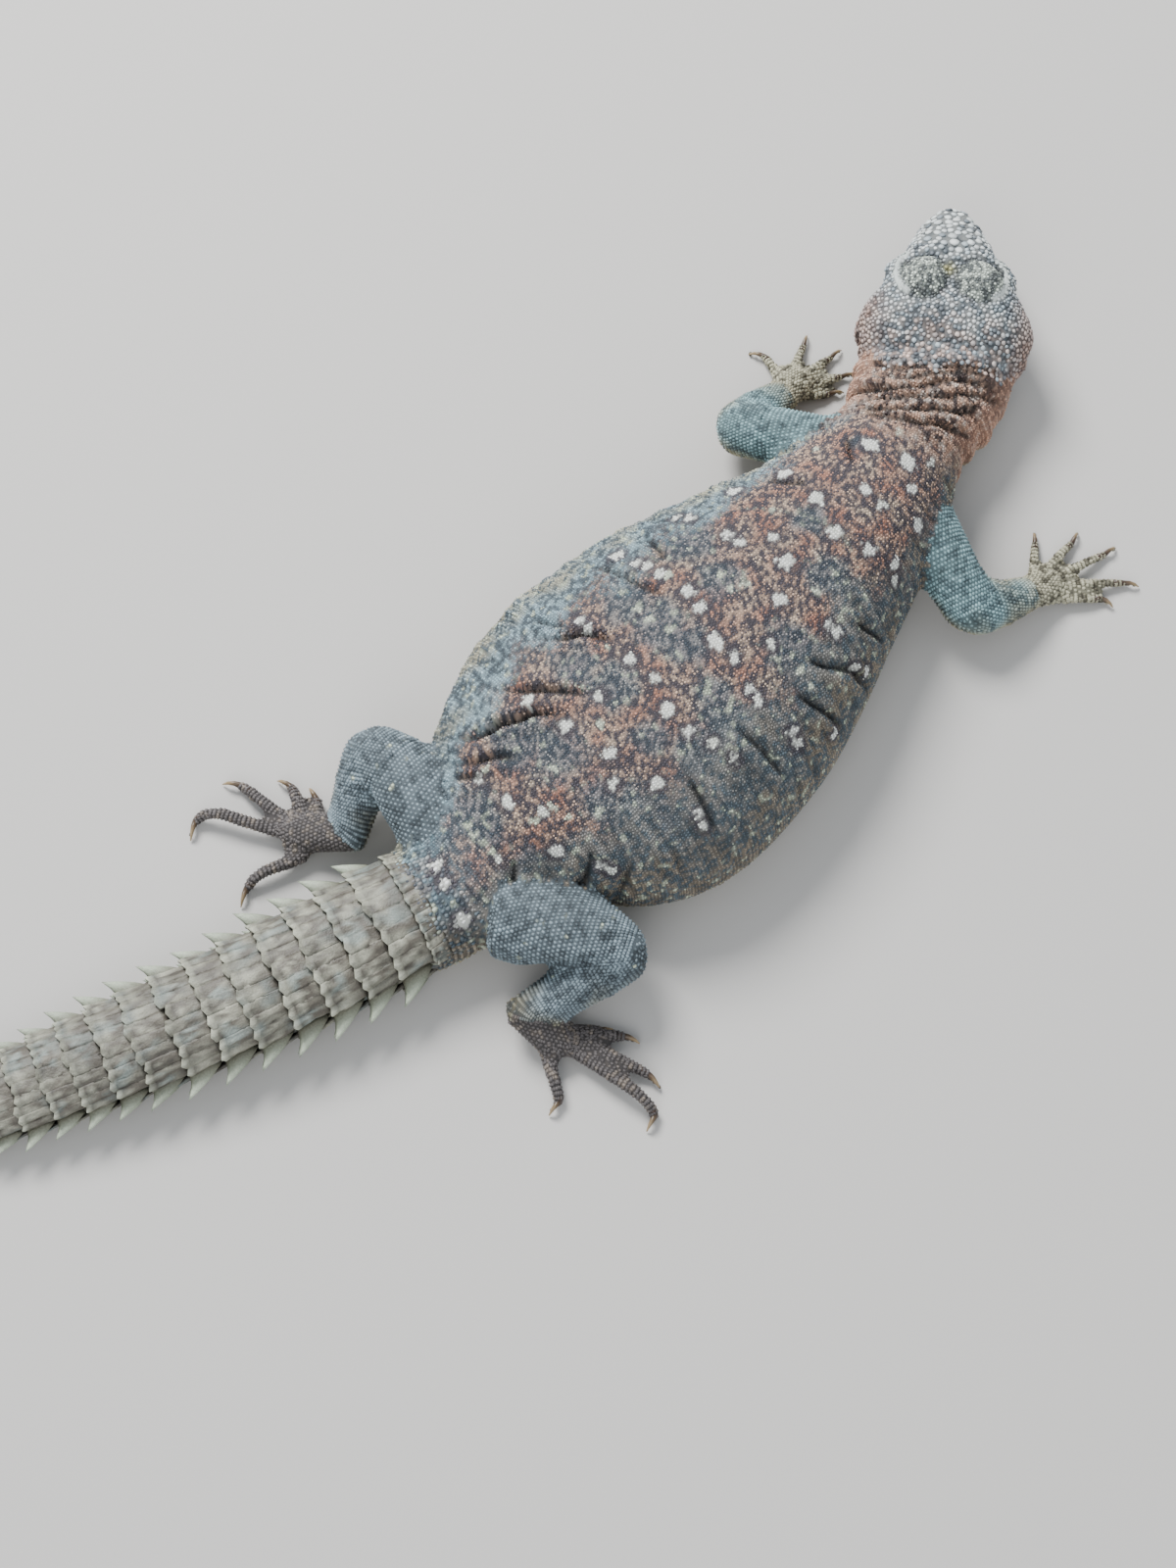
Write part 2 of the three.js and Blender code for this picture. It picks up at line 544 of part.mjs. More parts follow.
function footSolid(leg, size, wrist) {
  const heel = between(leg.end, leg.palm, -0.3);
  const front = between(leg.end, leg.palm, 1.35);
  const path = [heel, leg.end, leg.palm, front];
  const sole = tube(path, [size.heel, size.heel, size.palm, size.ball], 14, 6);
  return fuse([afterJoint(sole, wrist), ...toeSolids(leg, size)]);
}

// Assembly

const group = new THREE.Group();
group.name = "uromastyx";

function add(name, made, colour, roughness) {
  const mesh = made.getMesh();
  const geometry = new THREE.BufferGeometry();
  geometry.setAttribute("position", new THREE.BufferAttribute(mesh.vertProperties, 3));
  geometry.setIndex(new THREE.BufferAttribute(mesh.triVerts, 1));
  const material = new THREE.MeshStandardMaterial({ color: colour, roughness, metalness: 0 });
  const part = new THREE.Mesh(geometry, material);
  part.name = name;
  group.add(part);
}

function addLeg(leg, names, size, foot, neighbours) {
  const knee = jointPlane(leg.root, leg.bend, leg.end);
  const wrist = jointPlane(leg.bend, leg.end, leg.palm);
  const clear = (made) => neighbours.reduce((rest, cutter) => rest.subtract(cutter), made);
  const pieces = [
    clear(upperSolid(leg, size, knee)),
    clear(lowerSolid(leg, size, knee, wrist)),
    footSolid(leg, foot, wrist),
  ];
  const colours = [COLOURS.upper, COLOURS.lower, COLOURS.foot];
  pieces.forEach((piece, i) => add(names[i], largest(piece), colours[i], 0.75));
}

add("head", headSolid(), COLOURS.head, 0.7);
add("eye_left", eyeSolid(1), COLOURS.eye, 0.2);
add("eye_right", eyeSolid(-1), COLOURS.eye, 0.2);
add("neck", neckSolid(), COLOURS.neck, 0.8);
add("torso", torsoSolid(), COLOURS.torso, 0.8);
add("tail_root", rootSolid(), COLOURS.root, 0.75);
add("tail_front", whorlSolid(0, 8), COLOURS.tail, 0.65);
add("tail_middle", whorlSolid(8, 16), COLOURS.tail, 0.65);
add("tail_rear", whorlSolid(16, WHORLS.count), COLOURS.tail, 0.65);

const armCutters = [torsoSolid(GAP), neckSolid(GAP)];
const legCutters = [torsoSolid(GAP), rootSolid(GAP)];
["left", "right"].forEach((side) => {
  const armNames = [`upper_arm_${side}`, `forearm_${side}`, `hand_${side}`];
  const legNames = [`thigh_${side}`, `shin_${side}`, `foot_${side}`];
  addLeg(LEGS[`arm_${side}`], armNames, ARM_SIZE, HAND, armCutters);
  addLeg(LEGS[`leg_${side}`], legNames, LEG_SIZE, FOOT, legCutters);
});

export default group;
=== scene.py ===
# A life-size still model of a resting uromastyx, a fat spiny-tailed desert lizard.
# Metres in Blender, with the animal's own sizes given in millimetres.
# +X points from the tail to the head, +Y to the animal's left, +Z up from the floor.

import math

import bmesh
import bpy
import numpy as np
from mathutils import Matrix, Vector, noise
from mathutils.bvhtree import BVHTree


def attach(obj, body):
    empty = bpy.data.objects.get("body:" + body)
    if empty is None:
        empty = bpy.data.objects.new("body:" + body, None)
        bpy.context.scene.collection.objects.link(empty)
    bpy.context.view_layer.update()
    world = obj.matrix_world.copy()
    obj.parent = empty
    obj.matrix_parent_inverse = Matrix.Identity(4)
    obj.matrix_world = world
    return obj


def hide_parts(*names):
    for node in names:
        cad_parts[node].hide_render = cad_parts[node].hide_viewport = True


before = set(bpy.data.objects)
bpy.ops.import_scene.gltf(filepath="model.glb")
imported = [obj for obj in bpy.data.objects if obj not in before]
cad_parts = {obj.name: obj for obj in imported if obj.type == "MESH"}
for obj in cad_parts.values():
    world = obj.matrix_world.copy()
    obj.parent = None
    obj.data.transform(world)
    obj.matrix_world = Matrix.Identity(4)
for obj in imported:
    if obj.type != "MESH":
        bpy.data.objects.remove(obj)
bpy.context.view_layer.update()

# Camera: held nearly over the animal, a little behind its right hip, as in the photograph.
# A long lens from about 60 cm, with the frame upright.

CAMERA_PLACE = Vector((-0.13812, -0.16002, 0.55442))
CAMERA_TARGET = Vector((-0.01388, -0.00101, 0.0))
LENS_MM = 70
SENSOR_MM = 36
camera_data = bpy.data.cameras.new("camera")
camera_data.lens = LENS_MM
camera_data.sensor_width = SENSOR_MM
camera = bpy.data.objects.new("camera", camera_data)
camera.location = CAMERA_PLACE
camera.rotation_mode = "QUATERNION"
camera.rotation_quaternion = (CAMERA_TARGET - CAMERA_PLACE).to_track_quat("-Z", "Y")
bpy.context.scene.collection.objects.link(camera)
bpy.context.scene.camera = camera

# Studio: a pale seamless floor, a broad soft lamp over the animal's left shoulder, a
# weaker one from the tail, and an even pale surround.

FLOOR_HALF = 6.0
FLOOR_COLOUR = (0.56, 0.545, 0.52, 1)
SURROUND_COLOUR = (0.86, 0.92, 1.0, 1)
SURROUND_STRENGTH = 0.68


def new_material(name, roughness):
    """A new material of that roughness, with its node tree and its shader."""
    material = bpy.data.materials.new(name)
    material.use_nodes = True
    tree = material.node_tree
    shader = tree.nodes["Principled BSDF"]
    shader.inputs["Roughness"].default_value = roughness
    return material, tree, shader


def add_object(name, mesh, material):
    """An object of that mesh and material, in the scene at the origin."""
    mesh.materials.append(material)
    made = bpy.data.objects.new(name, mesh)
    bpy.context.scene.collection.objects.link(made)
    return made


floor_mesh = bpy.data.meshes.new("floor")
shape = bmesh.new()
bmesh.ops.create_grid(shape, x_segments=1, y_segments=1, size=FLOOR_HALF)
shape.to_mesh(floor_mesh)
shape.free()
floor_material, _, floor_shader = new_material("floor", 0.85)
floor_shader.inputs["Base Color"].default_value = FLOOR_COLOUR
floor = add_object("floor", floor_mesh, floor_material)


def soft_lamp(name, place, size, power):
    """A round lamp in metres and watts that faces the origin."""
    lamp = bpy.data.lights.new(name, "AREA")
    lamp.shape = "DISK"
    lamp.size = size
    lamp.energy = power
    made = bpy.data.objects.new(name, lamp)
    made.location = place
    made.rotation_mode = "QUATERNION"
    made.rotation_quaternion = (-Vector(place)).to_track_quat("-Z", "Y")
    bpy.context.scene.collection.objects.link(made)


soft_lamp("key_lamp", (0.10, 0.75, 0.85), 0.5, 22)
soft_lamp("fill_lamp", (-0.75, -0.55, 0.75), 0.9, 5.5)
world = bpy.data.worlds.new("surround")
world.use_nodes = True
world.node_tree.nodes["Background"].inputs["Color"].default_value = SURROUND_COLOUR
world.node_tree.nodes["Background"].inputs["Strength"].default_value = SURROUND_STRENGTH
bpy.context.scene.world = world

# Body line: the curve of the trunk and tail on the floor, with the girth along it. The
# skin, the scales and the tail's armour are all set out from it. Sections in millimetres:
# place, half width, height of the back, height of the widest level, lift of the underside.

MM = 0.001
SECTIONS = {
    "skull": (98.2, 26.9, 15.6, 23.0, 10.5, 1.8),
    "nape": (93.4, 21.8, 14.8, 22.0, 10.0, 1.6),
    "collar": (87.0, 19.4, 15.4, 21.5, 9.0, 1.1),
    "throat": (78.4, 15.8, 13.2, 23.0, 9.5, 0.6),
    "shoulder": (69.2, 11.4, 15.4, 26.0, 10.5, 0),
    "armpit": (52.0, 6.4, 20.4, 30.0, 11.0, 0),
    "ribs": (36.0, 3.9, 26.4, 32.5, 11.0, 0),
    "belly": (16.5, 1.2, 32.4, 34.0, 11.0, 0),
    "flank": (-3.5, -1.0, 34.5, 33.5, 11.0, 0),
    "loin": (-18.0, -0.9, 31.4, 31.0, 11.0, 0),
    "groin": (-29.2, -1.3, 24.6, 27.5, 11.0, 0),
    "hips": (-39.5, -3.0, 15.2, 23.5, 10.5, 0),
    "vent": (-49.5, -4.4, 12.6, 19.5, 9.0, 0),
    "tail_root": (-60.5, -2.9, 11.9, 16.8, 8.0, 0),
    "whorl_4": (-81.0, 0.8, 11.4, 15.5, 7.2, 0),
    "whorl_7": (-101.2, 5.3, 10.6, 14.0, 6.6, 0),
    "whorl_10": (-120.6, 10.4, 9.5, 12.2, 5.8, 0),
    "whorl_13": (-137.4, 15.2, 8.1, 10.4, 5.0, 0),
    "whorl_17": (-156.0, 21.8, 6.0, 8.0, 3.9, 0),
    "whorl_22": (-173.0, 29.4, 3.9, 5.4, 2.7, 0),
    "tip": (-188.0, 37.6, 1.5, 2.6, 1.3, 0),
}
BACK_SQUARE = (0.92, 0.96)
BELLY_SQUARE = (0.78, 0.8)
BELLY_SAG = 1.22


def smooth_line(knots):
    """A curve through the knots, which gives its points at shares of the way from 0 to 1."""
    knots = np.array(knots, float)
    padded = np.vstack([2 * knots[0] - knots[1], knots, 2 * knots[-1] - knots[-2]])
    spans = np.sqrt(np.linalg.norm(np.diff(padded, axis=0), axis=1))
    spans = np.where(spans < 1e-4, 1.0, spans)

    def at(shares):
        place = np.clip(np.asarray(shares, float), 0, 1) * (len(knots) - 1)
        i = np.minimum(place.astype(int), len(knots) - 2)
        s = (place - i)[..., None]
        x0, x1, x2, x3 = (padded[i + k] for k in range(4))
        d0, d1, d2 = (spans[i + k][..., None] for k in range(3))
        t1 = ((x1 - x0) / d0 - (x2 - x0) / (d0 + d1) + (x2 - x1) / d1) * d1
        t2 = ((x2 - x1) / d1 - (x3 - x1) / (d1 + d2) + (x3 - x2) / d2) * d1
        c2 = 3 * (x2 - x1) - 2 * t1 - t2
        c3 = 2 * (x1 - x2) + t1 + t2
        return x1 + t1 * s + c2 * s**2 + c3 * s**3

    return at


def unit(vectors):
    """The vectors at length 1."""
    return vectors / np.maximum(np.linalg.norm(vectors, axis=-1, keepdims=True), 1e-12)


section_names = list(SECTIONS)
section_table = np.array(list(SECTIONS.values()), float)
spine_at = smooth_line(section_table[:, :2])
girth_at = smooth_line(section_table[:, 2:5])
lift_at = smooth_line(np.stack([section_table[:, 5], 0 * section_table[:, 5]], 1))
fine_shares = np.linspace(0, 1, 2001)
fine_spine = spine_at(fine_shares)
fine_steps = np.linalg.norm(np.diff(fine_spine, axis=0), axis=1)
fine_lengths = np.concatenate([[0], np.cumsum(fine_steps)])
body_length = fine_lengths[-1]


def length_to(name):
    """Length along the body from the skull to a named section."""
    return float(np.interp(section_names.index(name) / (len(section_names) - 1),
                           fine_shares, fine_lengths))


def power(value, exponent):
    """A power that keeps the sign, which squares off a round section."""
    return np.sign(value) * np.abs(value) ** exponent


def body_frame(lengths):
    """Place, backward direction, left direction and girth at lengths along the body."""
    shares = np.interp(lengths, fine_lengths, fine_shares)
    place = spine_at(shares)
    back = unit(spine_at(shares + 0.0005) - spine_at(shares - 0.0005))
    left = np.stack([back[..., 1], -back[..., 0]], -1)
    lift = np.maximum(lift_at(shares)[..., 0], 0)
    return place, back, left, girth_at(shares), lift


def body_point(lengths, turns, grow=0.0, proud=0.0):
    """Points on the body in millimetres. Turn 0 is the left side and 0.25 the back."""
    lengths, turns = np.broadcast_arrays(np.asarray(lengths, float), turns)
    place, _, left, girth, lift = body_frame(lengths)
    half, top, side = girth[..., 0], girth[..., 1], girth[..., 2]
    spin = turns * 2 * np.pi
    above = np.sin(spin) >= 0
    rise = np.where(above, top - side + grow + proud, (side - lift) * BELLY_SAG + grow)
    square = np.where(above[..., None], BACK_SQUARE, BELLY_SQUARE)
    wide = (half + grow + proud) * power(np.cos(spin), square[..., 0])
    high = side + rise * power(np.sin(spin), square[..., 1])
    flat_place = place + left * wide[..., None]
    return np.concatenate([flat_place, np.maximum(high, lift - grow)[..., None]], -1)


# Skin: one soft leathery hide over the head, neck, trunk, tail and limbs. The copied flesh
# is swollen a little so that its parts run together, remeshed as one closed surface, and
# drawn back in by the depth of the scales that cover it.

SKIN_GRAIN = 0.715
SWELL = 0.28
COAT_DEPTH = 0.24
ROUNDING_LOSS = 0.35
LIMB_FULLNESS = 0.12
LIMB_ROOTS = [(62.0, 24.0, 14.0), (68.0, -6.0, 14.0), (-47.0, 8.0, 13.0), (-50.5, -15.0, 12.0)]
JOINTS = [(52.8, 37.8, 9.0), (64.4, -21.6, 9.0), (-44.6, 26.4, 13.6), (-31.0, -35.6, 12.6)]
ROOT_REACH, JOINT_REACH = 8.5, 9.0
SKIN_PASSES, LIMB_PASSES, JOINT_PASSES, ROOT_PASSES = 3, 12, 58, 18
TRUNK_NODES = ["head", "neck", "torso", "tail_root"]
LIMB_NODES = [f"{part}_{side}" for side in ("left", "right")
              for part in ("upper_arm", "forearm", "hand", "thigh", "shin", "foot")]
FLESH_NODES = TRUNK_NODES + LIMB_NODES
CORE_RINGS, CORE_SIDES, CORE_INSET = 34, 28, 0.75

shape = bmesh.new()
for name in FLESH_NODES:
    shape.from_mesh(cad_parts[name].data)
bmesh.ops.remove_doubles(shape, verts=shape.verts, dist=1e-6)
shape.normal_update()
for vert in shape.verts:
    vert.co += vert.normal * SWELL * MM
flesh_faces = len(shape.faces)


def ring_of(shape, points):
    """A closed ring of edges whose corners are the given points in millimetres."""
    made = bmesh.ops.create_circle(shape, segments=len(points), radius=1.0)
    for vert, place in zip(made["verts"], points):
        vert.co = Vector(place) * MM
    return list({edge for vert in made["verts"] for edge in vert.link_edges})


def loft(shape, rings):
    """A closed skin over rings of points, with both ends filled."""
    loops = [ring_of(shape, points) for points in rings]
    for one, two in zip(loops, loops[1:]):
        bmesh.ops.bridge_loops(shape, edges=one + two)
    bmesh.ops.holes_fill(shape, edges=loops[0] + loops[-1], sides=0)


tail_front_end = length_to("tail_root") - 2.4
core_turns = np.arange(CORE_SIDES) / CORE_SIDES
loft(shape, [body_point(np.full(CORE_SIDES, at), core_turns, -CORE_INSET)
             for at in np.linspace(tail_front_end - 3, body_length - 1.5, CORE_RINGS)])
bmesh.ops.triangulate(shape, faces=shape.faces)
bmesh.ops.recalc_face_normals(shape, faces=shape.faces[flesh_faces:])
flesh_mesh = bpy.data.meshes.new("skin")
shape.to_mesh(flesh_mesh)
shape.free()


def applied(made):
    """The object's mesh with its modifiers applied; the object keeps its name."""
    graph = bpy.context.evaluated_depsgraph_get()
    mesh = bpy.data.meshes.new_from_object(made.evaluated_get(graph))
    made.modifiers.clear()
    made.data = mesh
    return mesh


skin = bpy.data.objects.new("skin", flesh_mesh)
bpy.context.scene.collection.objects.link(skin)
remesh = skin.modifiers.new("one_hide", "REMESH")
remesh.mode = "VOXEL"
remesh.voxel_size = SKIN_GRAIN * MM
applied(skin)


def mesh_points(mesh):
    """The mesh's corners in millimetres."""
    points = np.zeros(len(mesh.vertices) * 3, np.float32)
    mesh.vertices.foreach_get("co", points)
    return points.reshape(-1, 3).astype(float) / MM


def mesh_normals(mesh):
    """The mesh's directions outwards at its corners."""
    normals = np.zeros(len(mesh.vertices) * 3, np.float32)
    mesh.vertex_normals.foreach_get("vector", normals)
    return normals.reshape(-1, 3).astype(float)


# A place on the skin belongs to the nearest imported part, or to the tail past its root.
TAIL_SIDES, TAIL_STEPS = 20, 40
part_points, part_faces, part_of_face = [], [], []
for number, name in enumerate(FLESH_NODES):
    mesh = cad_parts[name].data
    start = len(part_points)
    part_points += [vert.co / MM for vert in mesh.vertices]
    part_faces += [[start + v for v in face.vertices] for face in mesh.polygons]
    part_of_face += [number] * len(mesh.polygons)
start = len(part_points)
tail_rings = [body_point(np.full(TAIL_SIDES, at), np.arange(TAIL_SIDES) / TAIL_SIDES)
              for at in np.linspace(tail_front_end, body_length, TAIL_STEPS)]
part_points += [Vector(p) for ring in tail_rings for p in ring]
for row in range(TAIL_STEPS - 1):
    for k in range(TAIL_SIDES):
        a = start + row * TAIL_SIDES + k
        b = start + row * TAIL_SIDES + (k + 1) % TAIL_SIDES
        part_faces.append([a, b, b + TAIL_SIDES, a + TAIL_SIDES])
        part_of_face.append(len(FLESH_NODES))
PART_NAMES = FLESH_NODES + ["tail"]
part_tree = BVHTree.FromPolygons(part_points, part_faces)


def owners(points):
    """The number of the part that each point in millimetres belongs to."""
    return np.array([part_of_face[part_tree.find_nearest(Vector(p))[2]] for p in points])


shape = bmesh.new()
shape.from_mesh(skin.data)
shape.normal_update()
for vert in shape.verts:
    vert.co -= vert.normal * (SWELL + COAT_DEPTH) * MM
rounded_parts = {PART_NAMES.index(name) for name in LIMB_NODES
                 if not name.startswith(("hand", "foot"))}
vert_parts = owners([vert.co / MM for vert in shape.verts])
limb_verts = [vert for vert, part in zip(shape.verts, vert_parts) if part in rounded_parts]
joint_verts = [vert for vert in limb_verts
               if min(math.dist(vert.co / MM, joint) for joint in JOINTS) < JOINT_REACH]
root_verts = [vert for vert in shape.verts
              if min(math.dist(vert.co / MM, root) for root in LIMB_ROOTS) < ROOT_REACH]
rounds = ((SKIN_PASSES, list(shape.verts)), (LIMB_PASSES, limb_verts),
          (JOINT_PASSES, joint_verts), (ROOT_PASSES, root_verts))
for passes, chosen_verts in rounds:
    for _ in range(passes):
        bmesh.ops.smooth_vert(shape, verts=chosen_verts, factor=0.5,
                              use_axis_x=True, use_axis_y=True, use_axis_z=True)
shape.normal_update()
for vert in limb_verts:
    vert.co += vert.normal * LIMB_FULLNESS * MM
for vert in joint_verts:
    vert.co += vert.normal * ROUNDING_LOSS * MM
for vert in shape.verts:
    vert.co.z = max(vert.co.z, 0.0)
shape.to_mesh(skin.data)
shape.free()


def body_place(points):
    """Length along the body, distance to the left, turn and half width, for points in
    millimetres."""
    coarse, batch = 8, 8000
    place = fine_spine[::coarse]
    nearest = np.zeros(len(points), int)
    for start in range(0, len(points), batch):
        part = points[start:start + batch, None, :2] - place[None]
        nearest[start:start + batch] = np.argmin((part**2).sum(2), 1)
    lengths = fine_lengths[::coarse][nearest]
    middle, back, left, girth, lift = body_frame(lengths)
    away = points[:, :2] - middle
    lengths = lengths + (away * back).sum(1)
    across = (away * left).sum(1)
    rise = points[:, 2] - girth[:, 2]
    tall = np.where(rise > 0, girth[:, 1] - girth[:, 2], (girth[:, 2] - lift) * BELLY_SAG)
    turns = np.arctan2(rise / tall, across / girth[:, 0]) / (2 * np.pi) % 1
    return lengths, across, turns, girth[:, 0]


def wander(points, size, seed=0.0):
    """A smooth random number, about -1 to 1, for each point, changing over that size."""
    return np.array([noise.noise(Vector(p)) for p in points / size + seed * 17.3]) * 1.6


def ease(low, high, value):
    """A smooth step from 0 at the low value to 1 at the high one."""
    share = np.clip((value - low) / (high - low), 0, 1)
    return share * share * (3 - 2 * share)


# Creases pressed into the skin. Each is a line in millimetres on the plan of the animal,
# with its depth; the loose skin bulges beside it.
CREASES = [
    (1.3, [(-10.5, 20.5), (-6.5, 15.8), (-3.2, 13.9), (-1.5, 11.2), (0.8, 8.2)]),
    (0.8, [(-8.3, 24.6), (-5.9, 19.6), (-4.4, 16.5)]),
    (1.4, [(-23.0, 18.5), (-18.4, 12.5), (-15.2, 9.6), (-12.4, 6.2), (-9.2, 2.3)]),
    (2.0, [(-34.5, 17.5), (-30.9, 12.5), (-27.5, 10.8), (-25.4, 10.5), (-22.3, 8.5),
           (-20.3, 8.0), (-17.2, 4.9), (-14.4, 1.6)]),
    (1.4, [(-37.6, 13.2), (-33.5, 8.1), (-31.2, 7.0), (-28.8, 5.0), (-27.0, 2.3)]),
    (1.1, [(-38.6, 9.4), (-35.5, 6.5), (-33.9, 4.4)]),
    (1.0, [(7.6, 27.5), (9.9, 19.6), (11.5, 13.8), (13.4, 9.2)]),
    (0.9, [(19.8, 25.5), (18.7, 18.7), (18.0, 15.9)]),
    (1.2, [(26.2, -14.4), (29.3, -17.7), (33.4, -19.9), (36.8, -22.5)]),
    (1.2, [(21.0, -18.9), (23.7, -22.7), (27.1, -27.0)]),
    (1.0, [(7.1, -17.4), (9.0, -22.0), (9.8, -26.1), (10.6, -30.0)]),
    (1.1, [(-5.4, -18.5), (-5.5, -23.5), (-5.9, -27.1), (-6.6, -31.0)]),
    (1.2, [(40.1, -13.6), (41.6, -15.9), (44.6, -18.6)]),
    (1.0, [(32.6, -21.0), (35.9, -22.6), (37.0, -25.0)]),
    (1.0, [(-26.0, -18.0), (-30.0, -20.4), (-33.5, -20.0)]),
    (0.9, [(-21.0, -24.0), (-26.0, -25.6), (-30.0, -24.0)]),
    (1.0, [(-38.0, -10.0), (-41.0, -13.5), (-43.5, -17.5)]),
    (0.9, [(44.5, 19.5), (47.5, 15.5), (50.5, 12.5)]),
    (0.8, [(64.0, 17.5), (61.5, 14.0), (60.0, 11.0)]),
    (1.0, [(80.2, 29.5), (83.3, 23.5), (88.4, 20.1), (93.8, 15.5), (99.5, 11.0)]),
    (1.2, [(78.1, 26.6), (81.8, 21.8), (86.1, 19.1), (91.8, 16.2), (96.4, 11.7)]),
    (1.6, [(74.6, 27.5), (75.9, 24.1), (79.2, 20.5), (84.9, 17.5), (91.5, 14.1), (96.5, 9.1)]),
    (1.3, [(71.3, 23.5), (76.7, 19.8), (82.8, 15.3), (90.6, 11.4), (96.9, 7.4)]),
    (1.2, [(70.8, 21.4), (74.9, 17.2), (80.3, 13.9), (85.6, 10.3), (91.9, 8.5)]),
    (1.1, [(78.3, 11.7), (82.7, 8.4), (86.8, 5.4)]),
    (1.1, [(70.7, 19.8), (74.9, 14.1), (79.4, 9.7)]),
]
CREASE_WIDTH, BULGE_AWAY, BULGE_WIDTH, SHADE_WIDTH = 0.7, 2.0, 1.2, 0.55
NECK_START = 69


def crease_reach(points):
    """How deep each point lies in a crease, how high on the bulge beside one, and how much painted
    shade darkens it there. The creases fade at both ends and down the sides."""
    steps = 28
    on_neck = (points[:, 0] > NECK_START) & (points[:, 2] > 8)
    upper = np.where(on_neck, ease(6.0, 13.0, points[:, 2]), ease(12.0, 17.5, points[:, 2]))
    deep, high, dark = np.zeros((3, len(points)))
    for depth, line in CREASES:
        line = smooth_line(line)(np.linspace(0, 1, steps))
        fade = 0.12 if line[0, 0] > NECK_START else 0.3
        near = np.where((points[:, 0] > line[:, 0].min() - 5)
                        & (points[:, 0] < line[:, 0].max() + 5))[0]
        gaps = np.linalg.norm(points[near, None, :2] - line[None], axis=2)
        along = np.argmin(gaps, 1) / (steps - 1)
        gap = gaps.min(1)
        ends = np.minimum(ease(-0.02, fade, along), ease(1.02, 1 - fade, along))
        strength = depth * upper[near] * ends
        deep[near] = np.maximum(deep[near], strength * np.exp(-((gap / CREASE_WIDTH) ** 2)))
        beside = np.exp(-(((gap - BULGE_AWAY) / BULGE_WIDTH) ** 2))
        high[near] = np.maximum(high[near], 0.4 * strength * beside)
        dark[near] = np.maximum(dark[near], 1.2 * strength * np.exp(-((gap / SHADE_WIDTH) ** 2)))
    return deep, high, dark


# The head's own line runs from the nape to the snout; its openings and eyes lie along it.
HEAD_PLACE = np.array([93.4, 21.8])
SNOUT_PLACE = np.array([118.8, 48.4])
HEAD_TURN = math.atan2(*(SNOUT_PLACE - HEAD_PLACE)[::-1])
HEAD_AXES = np.array([[math.cos(HEAD_TURN), math.sin(HEAD_TURN)],
                      [-math.sin(HEAD_TURN), math.cos(HEAD_TURN)]])
EYE_FORWARD, EYE_ASIDE, EYE_HEIGHT, EYE_RADIUS = 16.2, 9.2, 16.2, 3.7
BULGE_FORWARD, BULGE_ASIDE = 14.3, 5.7
LID_ARC = [(10.4, 8.6), (12.2, 10.2), (15.4, 11.0), (18.6, 10.4), (20.6, 8.8)]
EAR_FORWARD, EAR_HEIGHT = 4.6, 11.2
NOSTRIL_FORWARD, NOSTRIL_ASIDE, NOSTRIL_HEIGHT = 33.4, 4.2, 12.2
MOUTH_LINE = [(11.0, 7.7), (14.0, 7.6), (18.0, 7.2), (22.5, 7.2), (27.0, 7.5), (31.0, 7.9),
              (34.2, 8.1), (37.5, 8.2)]


def head_place(points):
    """Distance forward from the nape and to the left, in the head's own line."""
    return (points[:, :2] - HEAD_PLACE) @ HEAD_AXES.T


def line_gap(plan, line):
    """Distance on the plan from each point to a smooth line."""
    line = smooth_line(line)(np.linspace(0, 1, 24))
    return np.linalg.norm(plan[:, None] - line[None], axis=2).min(1)


def head_openings(points):
    """How far each point lies in the mouth's line, an ear opening or a nostril, up to 1."""
    local = head_place(points)
    forward, aside, height = local[:, 0], np.abs(local[:, 1]), points[:, 2]
    line = np.interp(forward, *np.array(MOUTH_LINE).T)
    mouth = np.exp(-(((height - line) / 0.5) ** 2)) * ease(11.0, 13.5, forward)
    ear = ((forward - EAR_FORWARD) / 1.1) ** 2 + ((height - EAR_HEIGHT) / 2.9) ** 2
    ear = np.exp(-(ear**2)) * (aside > 12)
    nostril = ((forward - NOSTRIL_FORWARD) ** 2 + (height - NOSTRIL_HEIGHT) ** 2
               + (aside - NOSTRIL_ASIDE) ** 2)
    return np.maximum(mouth, np.maximum(ear, np.exp(-((nostril / 0.9) ** 2))))


def eye_gaps(points):
    """Distance on the plan to the top of the nearer eye's bulge, and to its lid's rim."""
    local = head_place(points)
    local[:, 1] = np.abs(local[:, 1])
    bulge = np.hypot(local[:, 0] - BULGE_FORWARD, local[:, 1] - BULGE_ASIDE)
    return bulge, line_gap(local, LID_ARC)


def head_push(points):
    """The head's own relief: round bulges over the eyes with a groove about them, the
    rims of the lids, and low swellings over the snout."""
    bulge, rim = eye_gaps(points)
    local = head_place(points)
    top = ease(15.5, 19.0, points[:, 2])
    push = 0.95 * np.exp(-((bulge / 3.4) ** 4)) * top
    push -= 0.75 * np.exp(-(((bulge - 5.1) / 0.75) ** 2)) * top
    push += 0.7 * np.exp(-((rim / 0.65) ** 2)) * ease(13.5, 16.0, points[:, 2])
    push += 0.22 * wander(points, 2.6, 21.0) * ease(1, 6, local[:, 0])
    return push - 0.8 * head_openings(points)


